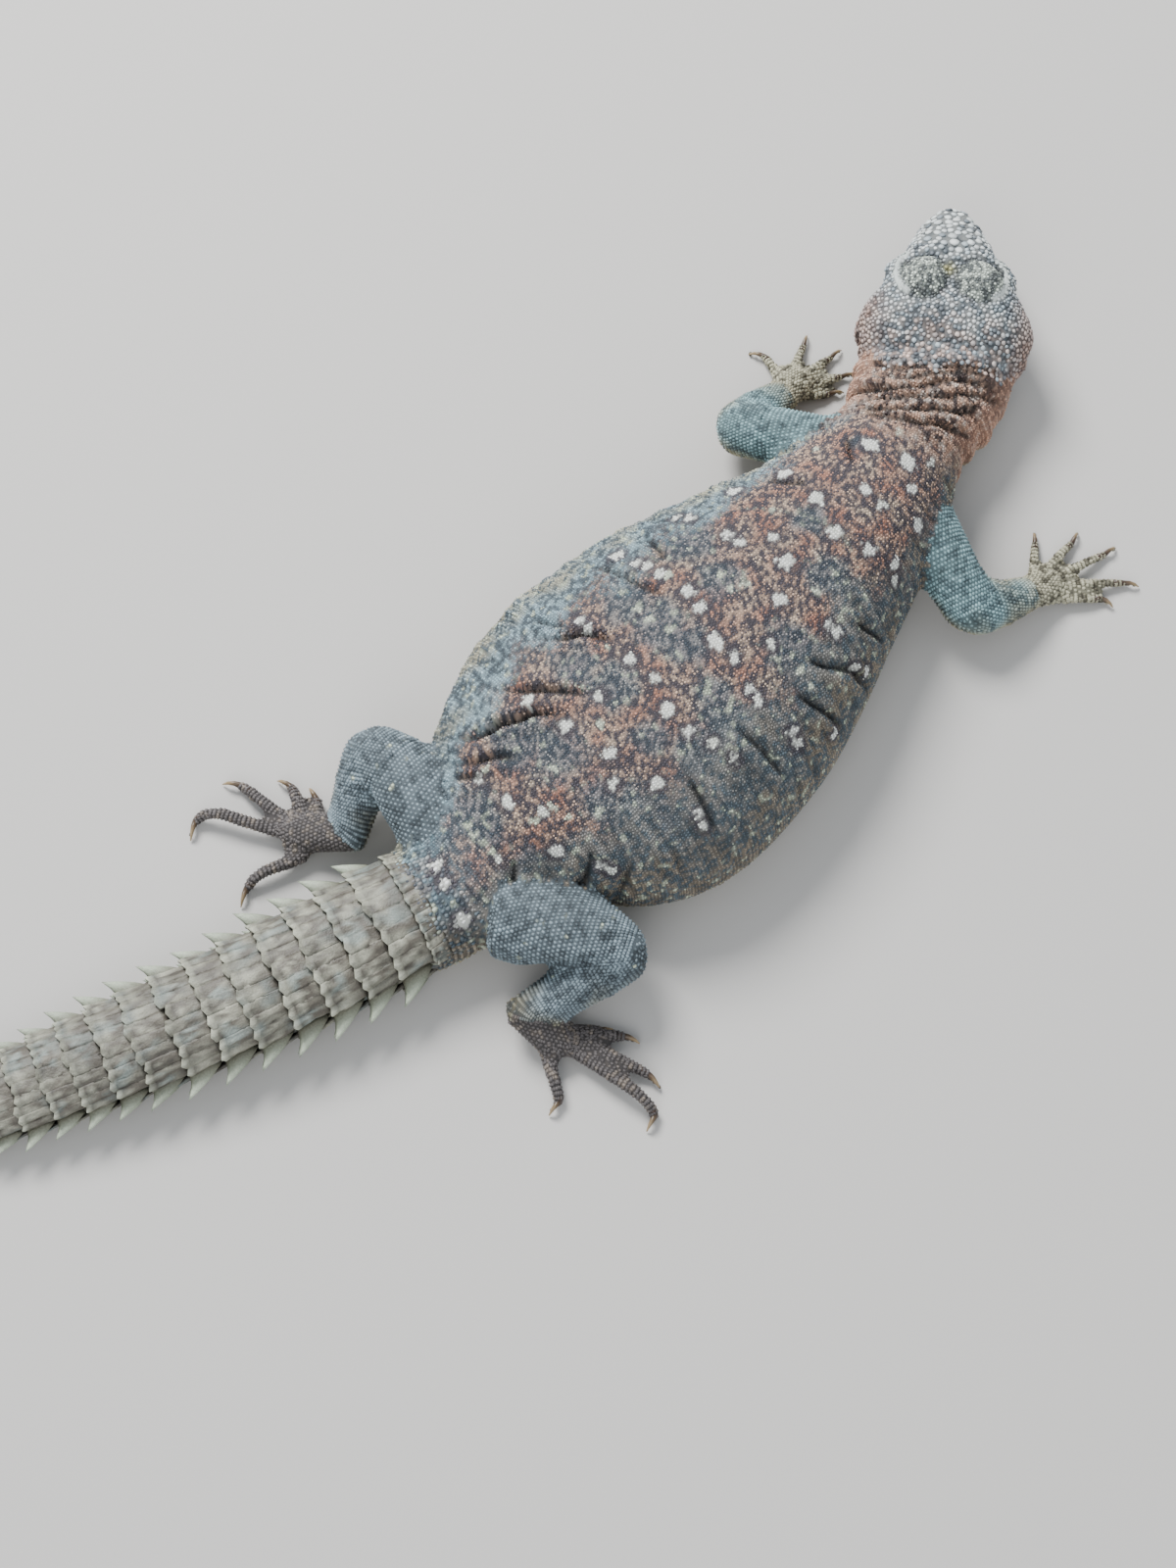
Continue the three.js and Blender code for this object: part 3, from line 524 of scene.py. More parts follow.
skin_points = mesh_points(skin.data)
skin_normals = mesh_normals(skin.data)
skin_parts = owners(skin_points)
skin_lengths, skin_across, _, skin_half = body_place(skin_points)
skin_trunk = np.isin(skin_parts, [PART_NAMES.index(n) for n in ("neck", "torso", "tail_root")])
upper_skin = ease(9.0, 14.0, skin_points[:, 2])
deep, high, _ = crease_reach(skin_points)
push = np.where(skin_trunk, high - deep, 0)
on_head = skin_parts == PART_NAMES.index("head")
push[on_head] += head_push(skin_points[on_head])
neck_share = (skin_lengths - length_to("nape")) / (length_to("shoulder") - length_to("nape"))
flank_share = ease(0.45, 0.9, np.abs(skin_across) / skin_half) * upper_skin
stretched = np.stack([skin_lengths / 1.5, skin_across / 7.0, skin_points[:, 2] / 7.0], 1)
wrinkle = wander(stretched, 1.0, 3.0)
wrinkle_depth = 0.12 + 0.38 * ease(13, 19, skin_points[:, 2])
push += np.where(skin_trunk, flank_share * wrinkle * wrinkle_depth, 0)
neck_wrinkles = np.stack([skin_lengths / 1.1, skin_across / 6.0, skin_points[:, 2] / 8.0], 1)
neck_fade = ease(-0.05, 0.1, neck_share) * ease(1.05, 0.6, neck_share)
neck_wave = 0.25 * wander(neck_wrinkles, 1.0, 5.0)
push += np.where(skin_trunk, neck_fade * neck_wave, 0)
lift_up = ease(0.0, 3.0, skin_points[:, 2])
skin_points = skin_points + skin_normals * (push * lift_up)[:, None]
skin_points[:, 2] = np.maximum(skin_points[:, 2], 0)
skin.data.vertices.foreach_set("co", (skin_points * MM).astype(np.float32).ravel())
skin.data.update()
skin_normals = mesh_normals(skin.data)
skin_faces = [list(face.vertices) for face in skin.data.polygons]
skin_tree = BVHTree.FromPolygons([Vector(p) for p in skin_points], skin_faces)

# Markings: rust and tan scales on black over the back, blue-black bars of blotches, white
# eye spots ringed in black, blue-grey flanks, and a cream and grey head. The same function
# colours the skin and the scales over it. Places and sizes are in millimetres.

EYE_SPOTS = [
    (65.6, 12.6, 1.6), (69.5, 5.7, 1.6), (58.1, 5.4, 1.2), (49.2, 9.2, 1.5), (48.6, 18.0, 1.4),
    (57.5, 19.1, 0.7), (47.3, 1.5, 1.4), (50.7, -4.6, 1.4), (35.4, 1.9, 1.5), (29.5, -3.6, 1.2),
    (30.4, 13.0, 1.2), (31.0, 10.4, 1.1), (26.8, 23.7, 1.0), (28.2, 21.4, 1.0), (38.9, 21.2, 1.4),
    (12.6, 24.0, 1.4), (13.7, 19.4, 1.1), (14.6, 17.6, 0.9), (15.3, 14.3, 0.9), (16.3, 13.0, 0.7),
    (17.1, 8.1, 1.2), (16.3, 4.0, 1.1), (14.4, -3.0, 1.5), (-0.1, 4.1, 1.1), (15.4, -7.7, 1.0),
    (-2.1, 16.6, 1.1), (-2.2, 14.2, 1.0), (1.0, -1.7, 0.9), (34.4, -12.3, 1.1),
    (35.1, -14.0, 1.1), (14.1, -13.8, 1.0), (14.3, -16.3, 1.0), (-0.8, -7.9, 1.4),
    (-17.0, 1.5, 1.2), (-0.3, -13.3, 1.0), (-14.1, -7.8, 1.2), (-12.0, -2.3, 0.7),
    (-10.4, -17.2, 1.2), (-33.3, -2.1, 1.2), (-29.5, -7.9, 0.9), (-27.8, -8.1, 0.7),
    (-31.6, -8.1, 0.6), (-31.8, -14.2, 1.2), (-40.9, -9.0, 0.9), (-40.8, -6.9, 0.6),
    (-50.2, -1.8, 1.1), (-50.9, -5.4, 1.1), (-34.3, 5.2, 1.1), (-32.7, 5.6, 0.6),
    (-7.6, -26.3, 1.1), (-7.8, -28.0, 1.0), (16.5, -23.9, 1.1), (16.3, -25.8, 1.1),
    (35.0, -20.1, 1.1), (37.3, -21.2, 1.0), (-8.7, 2.0, 0.9), (-19.0, 10.6, 1.2),
    (22.6, -9.4, 0.9), (24.5, -19.5, 0.7), (24.4, -16.2, 0.7), (24.5, -13.5, 0.6),
    (2.1, -17.6, 0.9), (4.0, -21.9, 0.9), (-17.1, -12.5, 0.9), (-52.5, -12.4, 1.4),
    (-45.3, -16.4, 0.7), (54.0, -8.9, 1.1), (52.6, -10.7, 0.9), (63.5, -4.8, 1.4),
    (74.0, 3.8, 0.9), (-26.3, -21.6, 1.1), (-25.6, -23.1, 0.9), (-40.5, -13.5, 0.6),
    (-37.5, -15.5, 0.6), (-22.1, -14.7, 0.7), (-26.7, -11.7, 0.6), (-41.6, -2.4, 0.7),
    (-41.5, 0.2, 0.6), (-23.5, -3.2, 0.7), (24.6, -27.2, 1.0), (7.9, 8.2, 0.7), (7.4, 11.5, 0.7),
    (9.8, 4.2, 0.6), (23.9, 7.0, 0.6), (23.5, 3.6, 0.7), (26.3, 2.6, 0.7), (36.6, -6.0, 0.7),
    (41.6, -4.5, 0.7), (44.7, -10.9, 0.6), (40.7, 12.2, 0.7), (58.7, 1.2, 0.9), (66.5, 1.2, 1.0),
    (72.6, 11.8, 0.7), (36.8, 7.5, 0.9), (-10.3, 5.8, 0.5), (-1.9, 8.6, 0.5),
]
BLOTCHES = [
    (24.3, 17.8, 4.9), (23.2, 6.6, 3.7), (40.6, -4.6, 3.7), (42.5, -10.5, 3.1), (7.0, 14.0, 4.3),
    (8.6, 6.1, 4.9), (9.9, -0.2, 3.7), (25.1, -11.7, 4.3), (26.9, -18.7, 5.5), (31.8, -23.3, 3.7),
    (-8.4, 9.3, 4.3), (-5.6, 1.9, 4.3), (7.8, -10.6, 3.1), (6.8, -15.8, 4.3), (8.0, -21.3, 3.7),
    (10.0, -28.0, 4.3), (-25.0, 4.9, 4.9), (-21.3, -1.3, 4.9), (-6.6, -10.2, 3.1),
    (0.1, -18.4, 4.9), (2.9, -24.9, 4.9), (6.4, -30.7, 4.9), (-39.2, 0.7, 4.3),
    (-38.4, -3.3, 3.1), (-19.8, -13.3, 3.7), (-16.8, -18.2, 4.3), (-13.9, -24.4, 4.9),
    (-37.7, -13.3, 3.1), (-34.3, -16.9, 3.7), (-47.3, 1.4, 2.5), (-53.8, -9.1, 3.1),
    (-45.3, -15.0, 2.5), (44.9, 6.5, 3.1), (64.8, 14.2, 1.8),
]
PALE_THREAD = [(36.3, 16.7), (42.4, 10.3), (47.1, 3.3), (47.7, -2.0), (44.3, -11.3)]


def tint(code):
    """A colour from its usual six-digit code, as the linear numbers that shaders use."""
    parts = np.array([int(code[i:i + 2], 16) / 255 for i in (0, 2, 4)])
    return np.where(parts < 0.04045, parts / 12.92, ((parts + 0.055) / 1.055) ** 2.4)


def mix(one, two, share):
    """The first colour, moved towards the second by that share."""
    share = np.asarray(share)[..., None]
    return one * (1 - share) + two * share


RUST, TAN, BLACK = tint("b9836c"), tint("d6c2aa"), tint("49434a")
BAR_BLACK, BAR_BLUE = tint("3c454f"), tint("93a9b2")
FLANK_BLUE, FLANK_OLIVE, FLANK_DARK = tint("8eb0bc"), tint("a3a48e"), tint("4d5a62")
# Painted shade: a darker brown for the right flank, which faces away from the key lamp.
FLANK_SHADE_BROWN = tint("7a6a5c")
WHITE_SCALE, PALE_SCALE = tint("fbfdf4"), tint("d3dcc2")
BELLY = tint("b0a98c")
NECK_ORANGE, NECK_TAN, NECK_DARK = tint("cba48c"), tint("d6c9bd"), tint("453837")
HEAD_CREAM, HEAD_GREY, HEAD_DARK = tint("dadfde"), tint("a3b2ba"), tint("595d63")
SNOUT_PALE, CHEEK_ORANGE, NAPE_PINK = tint("e4e9e6"), tint("c09077"), tint("d2a892")
EYELID_PALE, EYELID_DARK, LID_RIM = tint("dce6d8"), tint("43484c"), tint("c6cdc9")
BROW_YELLOW = tint("ddd68c")
ARM_BLUE, ARM_OLIVE, ARM_DARK = tint("88a9ae"), tint("a9a184"), tint("46595f")
LEG_BLUE, LEG_DARK, LEG_OLIVE = tint("82929a"), tint("3e484e"), tint("8e866c")
HAND_OLIVE, HAND_DARK, FOOT_BROWN = tint("b3af96"), tint("5a5646"), tint("5d5857")
TAIL_STRAW, TAIL_BROWN, TAIL_BLUE = tint("8e8d7e"), tint("544f46"), tint("788481")

HIGH_OVER, BACK_HEIGHT = 60, 25
spot_places = []
for x, y, _ in EYE_SPOTS:
    found = skin_tree.ray_cast(Vector((x, y, HIGH_OVER)), Vector((0, 0, -1)))[0]
    spot_places.append(found if found else Vector((x, y, BACK_HEIGHT)))
spot_places = np.array(spot_places)


def trunk_colour(points, lengths, across, turns, half):
    """Colours of the neck, trunk and tail root."""
    edge = np.abs(across) / half
    drift = wander(points, 7.0, 1.0)
    worm = wander(points, 1.0, 2.0) + 0.25 * wander(points, 0.5, 4.0)
    lines = ease(0.36, 0.14, np.abs(worm))
    to_bar = np.full(len(points), 9.0)
    for x, y, radius in BLOTCHES:
        gap = np.hypot(points[:, 0] - x, points[:, 1] - y) / (radius * 1.15)
        to_bar = np.minimum(to_bar, gap)
    bar = ease(1.35, 0.55, to_bar + 0.25 * wander(points, 2.5, 6.0))
    front = ease(38, 58, points[:, 0])
    flank = ease(0.42, 0.70, edge + 0.10 * drift - 0.22 * front)
    rear = ease(-38, -56, points[:, 0])
    light = mix(RUST, TAN, np.clip(0.42 + 0.5 * wander(points, 4.0, 7.0), 0, 1))
    light = mix(light, BAR_BLUE, np.clip(bar * 0.6 + 0.5 * rear, 0, 1))
    dark = mix(BLACK, BAR_BLACK, bar)
    back = mix(dark, light, lines * (1 - 0.35 * bar))
    side_light = mix(FLANK_BLUE, FLANK_OLIVE, ease(0.72, 1.0, edge + 0.15 * drift))
    side_light = mix(side_light, light, 0.12)
    # The right flank is painted darker and browner: painted shade, away from the key lamp.
    side_light = mix(side_light, FLANK_SHADE_BROWN, 0.75 * ease(0.2, 0.6, -across / half))
    side = mix(FLANK_DARK, side_light, ease(-0.4, 0.35, worm + 0.35 * drift))
    # The flank is painted lighter on the crests of its wrinkles and darker in their troughs, by the
    # same wave that shapes them: painted light and shade.
    stretched = np.stack([lengths / 1.5, across / 7.0, points[:, 2] / 7.0], 1)
    side = side * (1 + 0.3 * np.clip(wander(stretched, 1.0, 3.0), -1, 1))[:, None]
    flecks = ease(0.60, 0.80, wander(points, 1.5, 15.0)) * np.maximum(flank, bar)
    colour = mix(back, side, np.clip(flank + 0.5 * rear * (1 - flank), 0, 1))
    colour = mix(colour, PALE_SCALE, 0.7 * flecks)
    patchy = wander(points, 0.9, 18.0) + 0.4 * wander(points, 0.45, 19.0)
    for place, (_, _, radius) in zip(spot_places, EYE_SPOTS):
        near = np.where(np.abs(points[:, 0] - place[0]) < 6)[0]
        if not len(near):
            continue
        gap = np.linalg.norm(points[near] - place, axis=1)
        gap = gap - radius + 0.55 * patchy[near]
        ring = ease(1.5, 0.5, gap) * (radius > 0.8)
        pale = mix(PALE_SCALE, WHITE_SCALE, np.full(len(near), ease(0.6, 1.0, radius)))
        colour[near] = mix(colour[near], BLACK, ring * 0.85)
        colour[near] = mix(colour[near], pale, ease(0.12, -0.12, gap))
    share = (lengths - length_to("nape")) / (length_to("shoulder") - length_to("nape"))
    # The neck is painted darker in the troughs of its folds and lighter on their ridges, by the
    # same wave that shapes them: painted shade and light, mixed with its own dark worm lines.
    wave = np.stack([lengths / 1.1, across / 6.0, points[:, 2] / 8.0], 1)
    ridge = wander(wave, 1.0, 5.0) + 0.5 * worm
    neck = mix(NECK_ORANGE, NECK_TAN, ease(-0.1, 0.7, wander(points, 1.1, 16.0)))
    neck = mix(NECK_DARK, neck, ease(-0.42, 0.12, 0.5 * ridge + 0.65 * worm))
    neck = mix(neck, CHEEK_ORANGE * (1 + 0.2 * ridge[:, None]), 0.6 * ease(0.62, 0.95, edge))
    colour = mix(colour, neck, ease(1.0, 0.6, share + 0.1 * drift))
    thread = np.exp(-((line_gap(points[:, :2], PALE_THREAD) / 0.3) ** 2)) * (points[:, 2] > 20)
    colour = mix(colour, PALE_SCALE, 0.6 * thread)
    # Painted shade along the creases: the colour darkens where the skin is pressed in.
    _, _, dark = crease_reach(points)
    colour = colour * (1 - 0.8 * np.clip(dark, 0, 1))[:, None]
    under = ease(0.52, 0.60, turns) * ease(0.98, 0.90, turns)
    return mix(colour, BELLY * (0.85 + 0.12 * worm[:, None]), under)


def head_colour(points):
    """Colours of the head: cream and grey, worm lines over the eyes, orange cheeks."""
    local = head_place(points)
    forward, aside = local[:, 0], np.abs(local[:, 1])
    bulge, rim = eye_gaps(points)
    top = ease(13, 17, points[:, 2])
    fine = wander(points, 1.4, 8.0)
    broad = wander(points, 5.0, 9.0)
    lines = ease(0.40, 0.22, np.abs(wander(points, 1.3, 17.0)))
    base = mix(HEAD_GREY, HEAD_CREAM, ease(-0.5, 0.5, fine + 0.4 * broad))
    base = mix(base, HEAD_DARK, 0.8 * ease(0.30, 0.75, -fine - 0.3 * broad))
    base = mix(base, SNOUT_PALE, 0.85 * ease(19, 27, forward + 2 * broad) * ease(-0.8, 0.1, fine))
    eyelid = mix(EYELID_DARK, EYELID_PALE, 0.1 + 0.9 * lines)
    base = mix(base, eyelid, 0.95 * ease(5.4, 4.6, bulge) * top)
    # Painted shade in the groove round each eye's bulge.
    base = mix(base, HEAD_DARK, 0.75 * np.exp(-(((bulge - 5.2) / 0.6) ** 2)) * top)
    base = mix(base, LID_RIM, ease(0.9, 0.5, rim) * top)
    rear = ease(11, -3, forward + 3 * broad)
    base = mix(base, NAPE_PINK, 0.7 * rear * ease(-0.4, 0.5, fine))
    base = mix(base, HEAD_DARK, 0.85 * rear * ease(0.0, 0.4, -wander(points, 1.2, 20.0)))
    spot = (forward - 16.5) ** 2 + (local[:, 1] - 0.6) ** 2
    base = mix(base, BROW_YELLOW, 0.8 * np.exp(-spot / 1.2))
    cheek = ease(11, 16, aside) * ease(17, 8, forward)
    base = mix(base, CHEEK_ORANGE, 0.5 * cheek)
    base = mix(base, BELLY * 1.1, ease(6, 3.5, points[:, 2]))
    # Painted shade in the mouth's line, the ear openings and the nostrils.
    return base * (1 - 0.85 * head_openings(points))[:, None]


def in_head_coat(points, parts):
    """Whether the head's own tubercles cover a point. They run a little past the nape."""
    local = head_place(points)
    margin = np.interp(local[:, 1], [-16, -12, 0, 11, 16], [1.0, -3.1, -4.1, -5.1, 1.2])
    margin = margin + 1.6 * wander(points, 2.2, 23.0)
    past = (parts == PART_NAMES.index("neck")) & (local[:, 0] > margin) & (points[:, 2] > 9)
    return past | (parts == PART_NAMES.index("head"))


def limb_colour(points, part):
    """Colours of an arm, hand, leg or foot, mottled dark, and paler underneath."""
    fine = wander(points, 1.3, 10.0)
    broad = wander(points, 6.0, 11.0)
    tone = (1 + 0.28 * np.clip(wander(points, 4.5, 25.0), -1, 1))[:, None]
    if part.startswith(("upper_arm", "forearm")):
        blue = ease(6, 13, points[:, 2] + 2.5 * broad)
        base = mix(ARM_OLIVE, ARM_BLUE, blue)
        return mix(base, ARM_DARK, 0.8 * ease(-0.1, 0.6, -fine - 0.3 * broad)) * tone
    if part.startswith("hand"):
        return mix(HAND_OLIVE, HAND_DARK, ease(-0.1, 0.55, -fine - 0.2 * broad))
    if part.startswith("foot"):
        return mix(FOOT_BROWN, TAN * 0.7, 0.3 * ease(0.1, 0.8, fine))
    base = mix(LEG_OLIVE, LEG_BLUE, ease(4, 12, points[:, 2] + 4.0 * broad)) * tone
    base = mix(base, LEG_DARK, 0.75 * ease(-0.2, 0.6, -fine - 0.3 * broad))
    return mix(base, PALE_SCALE, ease(0.95, 1.15, wander(points, 1.1, 12.0)))


def tail_colour(points, lengths):
    """Colours of the tail: straw and grey, streaked with brown, darker to the rear."""
    broad = wander(points, 4.5, 13.0)
    streaks = np.stack([lengths / 4.0, points[:, 1] / 1.1, points[:, 2] / 1.1], 1)
    streak = wander(streaks, 1.0, 14.0)
    base = mix(TAIL_STRAW, TAIL_BLUE, 0.8 * ease(0.0, 0.5, -broad))
    brown = wander(points, 3.0, 24.0) * 0.5 - streak * 0.6 + 0.5 * wander(points, 1.0, 26.0)
    share = (lengths - tail_front_end) / (body_length - tail_front_end)
    base = base * (1.1 - 0.28 * ease(0.15, 0.6, share))[:, None]
    return mix(base, TAIL_BROWN, ease(-0.3, 0.45, brown))


def markings(points, parts, place):
    """Colour of every point in millimetres, by the part of the animal that it is on."""
    lengths, across, turns, half = place
    colours = np.zeros((len(points), 3))
    drift = np.stack([wander(points, 1.7, seed) for seed in (31.0, 32.0, 33.0)], 1)
    ragged = owners(points + 1.1 * drift)
    for number, name in enumerate(PART_NAMES):
        chosen = np.where(ragged == number)[0]
        if not len(chosen):
            continue
        here = points[chosen]
        if name in ("neck", "torso", "tail_root"):
            rows = (lengths[chosen], across[chosen], turns[chosen], half[chosen])
            colours[chosen] = trunk_colour(here, *rows)
        elif name == "head":
            colours[chosen] = head_colour(here)
        elif name == "tail":
            colours[chosen] = tail_colour(here, lengths[chosen])
        else:
            colours[chosen] = limb_colour(here, name)
    headed = np.where(in_head_coat(points, parts))[0]
    if len(headed):
        colours[headed] = head_colour(points[headed])
    return np.clip(colours, 0, 1)


def paint(mesh, colours):
    """Stores one colour for each vertex, which the materials read."""
    layer = mesh.attributes.new("marking", "FLOAT_COLOR", "POINT")
    rgba = np.ones((len(colours), 4), np.float32)
    rgba[:, :3] = colours
    layer.data.foreach_set("color", rgba.ravel())


GRAIN_DETAIL, GRAIN_RISE, GLOSS_SPREAD = 4.0, 0.0002, 0.12


def hide_material(name, roughness, grain, bump, spread):
    """Painted hide or scale: the marking, varied by fine grain, with a fine raised grain."""
    material, tree, shader = new_material(name, roughness)
    nodes, links = tree.nodes, tree.links
    marking = nodes.new("ShaderNodeAttribute")
    marking.attribute_name = "marking"
    place = nodes.new("ShaderNodeTexCoord")
    fine = nodes.new("ShaderNodeTexNoise")
    fine.inputs["Scale"].default_value = grain
    fine.inputs["Detail"].default_value = GRAIN_DETAIL
    tone = nodes.new("ShaderNodeMapRange")
    tone.inputs["To Min"].default_value = 1 - spread
    tone.inputs["To Max"].default_value = 1 + spread
    shade = nodes.new("ShaderNodeVectorMath")
    shade.operation = "SCALE"
    raised = nodes.new("ShaderNodeBump")
    raised.inputs["Strength"].default_value = bump
    raised.inputs["Distance"].default_value = GRAIN_RISE
    gloss = nodes.new("ShaderNodeMapRange")
    gloss.inputs["To Min"].default_value = roughness - GLOSS_SPREAD
    gloss.inputs["To Max"].default_value = roughness + GLOSS_SPREAD
    links.new(place.outputs["Object"], fine.inputs["Vector"])
    links.new(fine.outputs["Fac"], tone.inputs["Value"])
    links.new(marking.outputs["Color"], shade.inputs[0])
    links.new(tone.outputs["Result"], shade.inputs["Scale"])
    links.new(shade.outputs["Vector"], shader.inputs["Base Color"])
    links.new(fine.outputs["Fac"], gloss.inputs["Value"])
    links.new(gloss.outputs["Result"], shader.inputs["Roughness"])
    links.new(fine.outputs["Fac"], raised.inputs["Height"])
    links.new(raised.outputs["Normal"], shader.inputs["Normal"])
    return material


skin_colours = markings(skin_points, skin_parts, body_place(skin_points))
on_limb = np.array([name in LIMB_NODES for name in PART_NAMES])[skin_parts]
# The skin between the scales is painted darker than its markings: partly its own darker colour,
# partly painted shade between the scales. It is darkest on the head and barely darkened on the
# lids' rims.
HEAD_GAPS, LIMB_GAPS, TRUNK_GAPS, EYELID_GAPS, RIM_SHADE = 0.24, 0.36, 0.5, 0.42, 0.95
skin_shade = np.where(on_head, HEAD_GAPS, np.where(on_limb, LIMB_GAPS, TRUNK_GAPS))
bulge, rim = eye_gaps(skin_points)
on_eyelid = on_head & (bulge < 4.8) & (skin_points[:, 2] > 16)
on_rim = on_head & (rim < 0.5) & (skin_points[:, 2] > 13.5)
skin_shade = np.where(on_eyelid, EYELID_GAPS, skin_shade)
skin_shade = np.where(on_rim, RIM_SHADE, skin_shade)
paint(skin.data, skin_colours * skin_shade[:, None])
skin_material = hide_material("hide", 0.8, 2600.0, 0.5, 0.25)
skin.data.materials.clear()
skin.data.materials.append(skin_material)
skin.data.shade_smooth()
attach(skin, "root")
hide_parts(*FLESH_NODES)

# Scales: small horny plates that cover the whole hide, each grown separately with the skin
# showing dark between them. Every one is a closed mesh with its root sunk in the skin, and
# they are joined into one mesh for each region.

SEED = 11
SCALE_ROOT = 0.16
SCALE_PATCH = 0.0015
LOWEST = 0.02
draw = np.random.default_rng(SEED)
corner = np.arange(6) * np.pi / 3
# Each form's shade darkens a scale's colour towards its root, painted shade between the scales, and
# lightens its top, a painted highlight. The keeled form is darkest at its front edge, painted shade
# under the scale before it.
GRAIN_SCALE = {
    "points": np.array([(math.cos(a), math.sin(a), 0) for a in corner] + [(0.12, 0, 1)]),
    "shade": np.array([0.74] * 6 + [1.08]),
    "faces": [(k, (k + 1) % 6, 6) for k in range(6)] + [(0, 2, 1), (0, 3, 2), (0, 4, 3), (0, 5, 4)],
}
KEEL_SCALE = {
    "points": np.array([(math.cos(a) * 1.15, math.sin(a), 0) for a in corner] + [(0.45, 0, 1)]),
    "shade": np.array([0.95, 0.8, 0.6, 0.55, 0.6, 0.8, 1.08]),
    "faces": GRAIN_SCALE["faces"],
}
turns_7 = np.arange(7) * 2 * np.pi / 7
TUBERCLE = {
    "points": np.array([(math.cos(a), math.sin(a), 0) for a in turns_7]
                       + [(math.cos(a) * 0.86, math.sin(a) * 0.86, 0.92) for a in turns_7]
                       + [(0, 0, 1)]),
    "shade": np.array([0.2] * 7 + [0.9] * 7 + [1.06]),
    "faces": [f for k in range(7) for n in [(k + 1) % 7] for f in
              ((k, n, 7 + n), (k, 7 + n, 7 + k), (7 + k, 7 + n, 14))]
             + [(0, k + 1, k) for k in range(1, 6)],
}


def on_map(share):
    """A share of the way across the unwrapped map, kept off its edges."""
    return 0.02 + 0.96 * share


def scale_coat(name, kind, places, normals, lies, sizes, colours, homes, material):
    """Joins many scales. Sizes are half length, half width and height in millimetres;
    homes are the places of their roots on the unwrapped skin."""
    normals, lies = unit(normals), np.asarray(lies, float)
    sides = unit(np.cross(normals, lies))
    lies = np.cross(sides, normals)
    local = kind["points"]
    count, corners = len(places), len(local)
    uneven = 1 + 0.12 * draw.standard_normal((count, corners, 1))
    flat = local[None, :, :2] * uneven * sizes[:, None, :2]
    tall = sizes[:, 2:3] * local[None, :, 2] - SCALE_ROOT * (local[None, :, 2] == 0)
    points = (places[:, None] + lies[:, None] * flat[..., :1] + sides[:, None] * flat[..., 1:]
              + normals[:, None] * tall[..., None])
    points[..., 2] = np.maximum(points[..., 2], LOWEST)
    faces = np.array(kind["faces"])
    triangles = (faces[None] + (np.arange(count) * corners)[:, None, None]).reshape(-1, 3)
    mesh = bpy.data.meshes.new(name)
    mesh.vertices.add(count * corners)
    mesh.vertices.foreach_set("co", (points * MM).astype(np.float32).ravel())
    mesh.loops.add(triangles.size)
    mesh.polygons.add(len(triangles))
    mesh.polygons.foreach_set("loop_start", np.arange(len(triangles)) * 3)
    mesh.polygons.foreach_set("vertices", triangles.ravel().astype(np.int32))
    mesh.update(calc_edges=True)
    mesh.shade_smooth()
    # Each scale's colour takes its form's painted shade and highlight, and a random tone of its
    # own.
    tone = 1 + 0.13 * draw.standard_normal((count, 1, 1))
    shades = np.clip(colours[:, None] * kind["shade"][None, :, None] * tone, 0, 1)
    paint(mesh, shades.reshape(-1, 3))
    patch = homes[:, None] + local[None, :, :2] * SCALE_PATCH
    layer = mesh.uv_layers.new(name="OFBake")
    corners_at = patch.reshape(-1, 2)[triangles.ravel()].astype(np.float32)
    layer.data.foreach_set("uv", corners_at.ravel())
    made = add_object(name, mesh, material)
    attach(made, "root")


RAY_BEYOND = 6


def outside(starts, ends, parts):
    """Where rays from the starts to the ends and 6 mm beyond meet the skin of those parts.
    Returns the numbers of the rays that do, with their places and normals."""
    wanted = {PART_NAMES.index(part) for part in parts}
    kept, places, normals = [], [], []
    for number, (start, end) in enumerate(zip(starts, ends)):
        way = Vector(end - start)
        reach = way.length + RAY_BEYOND
        place, normal, _, _ = skin_tree.ray_cast(Vector(start), way.normalized(), reach)
        if place is None:
            continue
        if part_of_face[part_tree.find_nearest(place)[2]] in wanted:
            kept.append(number)
            places.append(place)
            normals.append(normal)
    return np.array(kept, int), np.array(places), np.array(normals)


def places_on(wanted, tries):
    """Random places, with their normals, evenly over the skin's wanted corners."""
    faces = np.array([face for face in skin_faces if wanted[face[0]]])
    corners = skin_points[faces]
    diagonals = corners[:, 2] - corners[:, 0], corners[:, 3] - corners[:, 1]
    areas = np.linalg.norm(np.cross(*diagonals), axis=1)
    chosen = draw.choice(len(faces), tries, p=areas / areas.sum())
    u, v = draw.random((tries, 1)), draw.random((tries, 1))
    quads = corners[chosen]
    places = ((quads[:, 0] * (1 - u) + quads[:, 1] * u) * (1 - v)
              + (quads[:, 3] * (1 - u) + quads[:, 2] * u) * v)
    return places, skin_normals[faces[chosen, 0]]


CELL = 1.8
BLOCK = [(i, j, k) for i in (-1, 0, 1) for j in (-1, 0, 1) for k in (-1, 0, 1)]


def with_room(places, rooms, taken=(), taken_room=0.0):
    """The numbers of the places that keep their own room from each other, in the order
    they come, and from the places that are taken already."""
    every = np.concatenate([places, taken]) if len(taken) else places
    every_room = np.concatenate([rooms, np.full(len(taken), taken_room)])
    cells = {}
    for number in range(len(places), len(every)):
        cells.setdefault(tuple((every[number] // CELL).astype(int)), []).append(number)
    kept = []
    for number, place in enumerate(places):
        x, y, z = (place // CELL).astype(int)
        near = [other for i, j, k in BLOCK for other in cells.get((x + i, y + j, z + k), ())]
        reach = (rooms[number] + every_room[near]) ** 2
        if near and (np.sum((every[near] - place) ** 2, 1) < reach).any():
            continue
        cells.setdefault((x, y, z), []).append(number)
        kept.append(number)
    return np.array(kept, int)


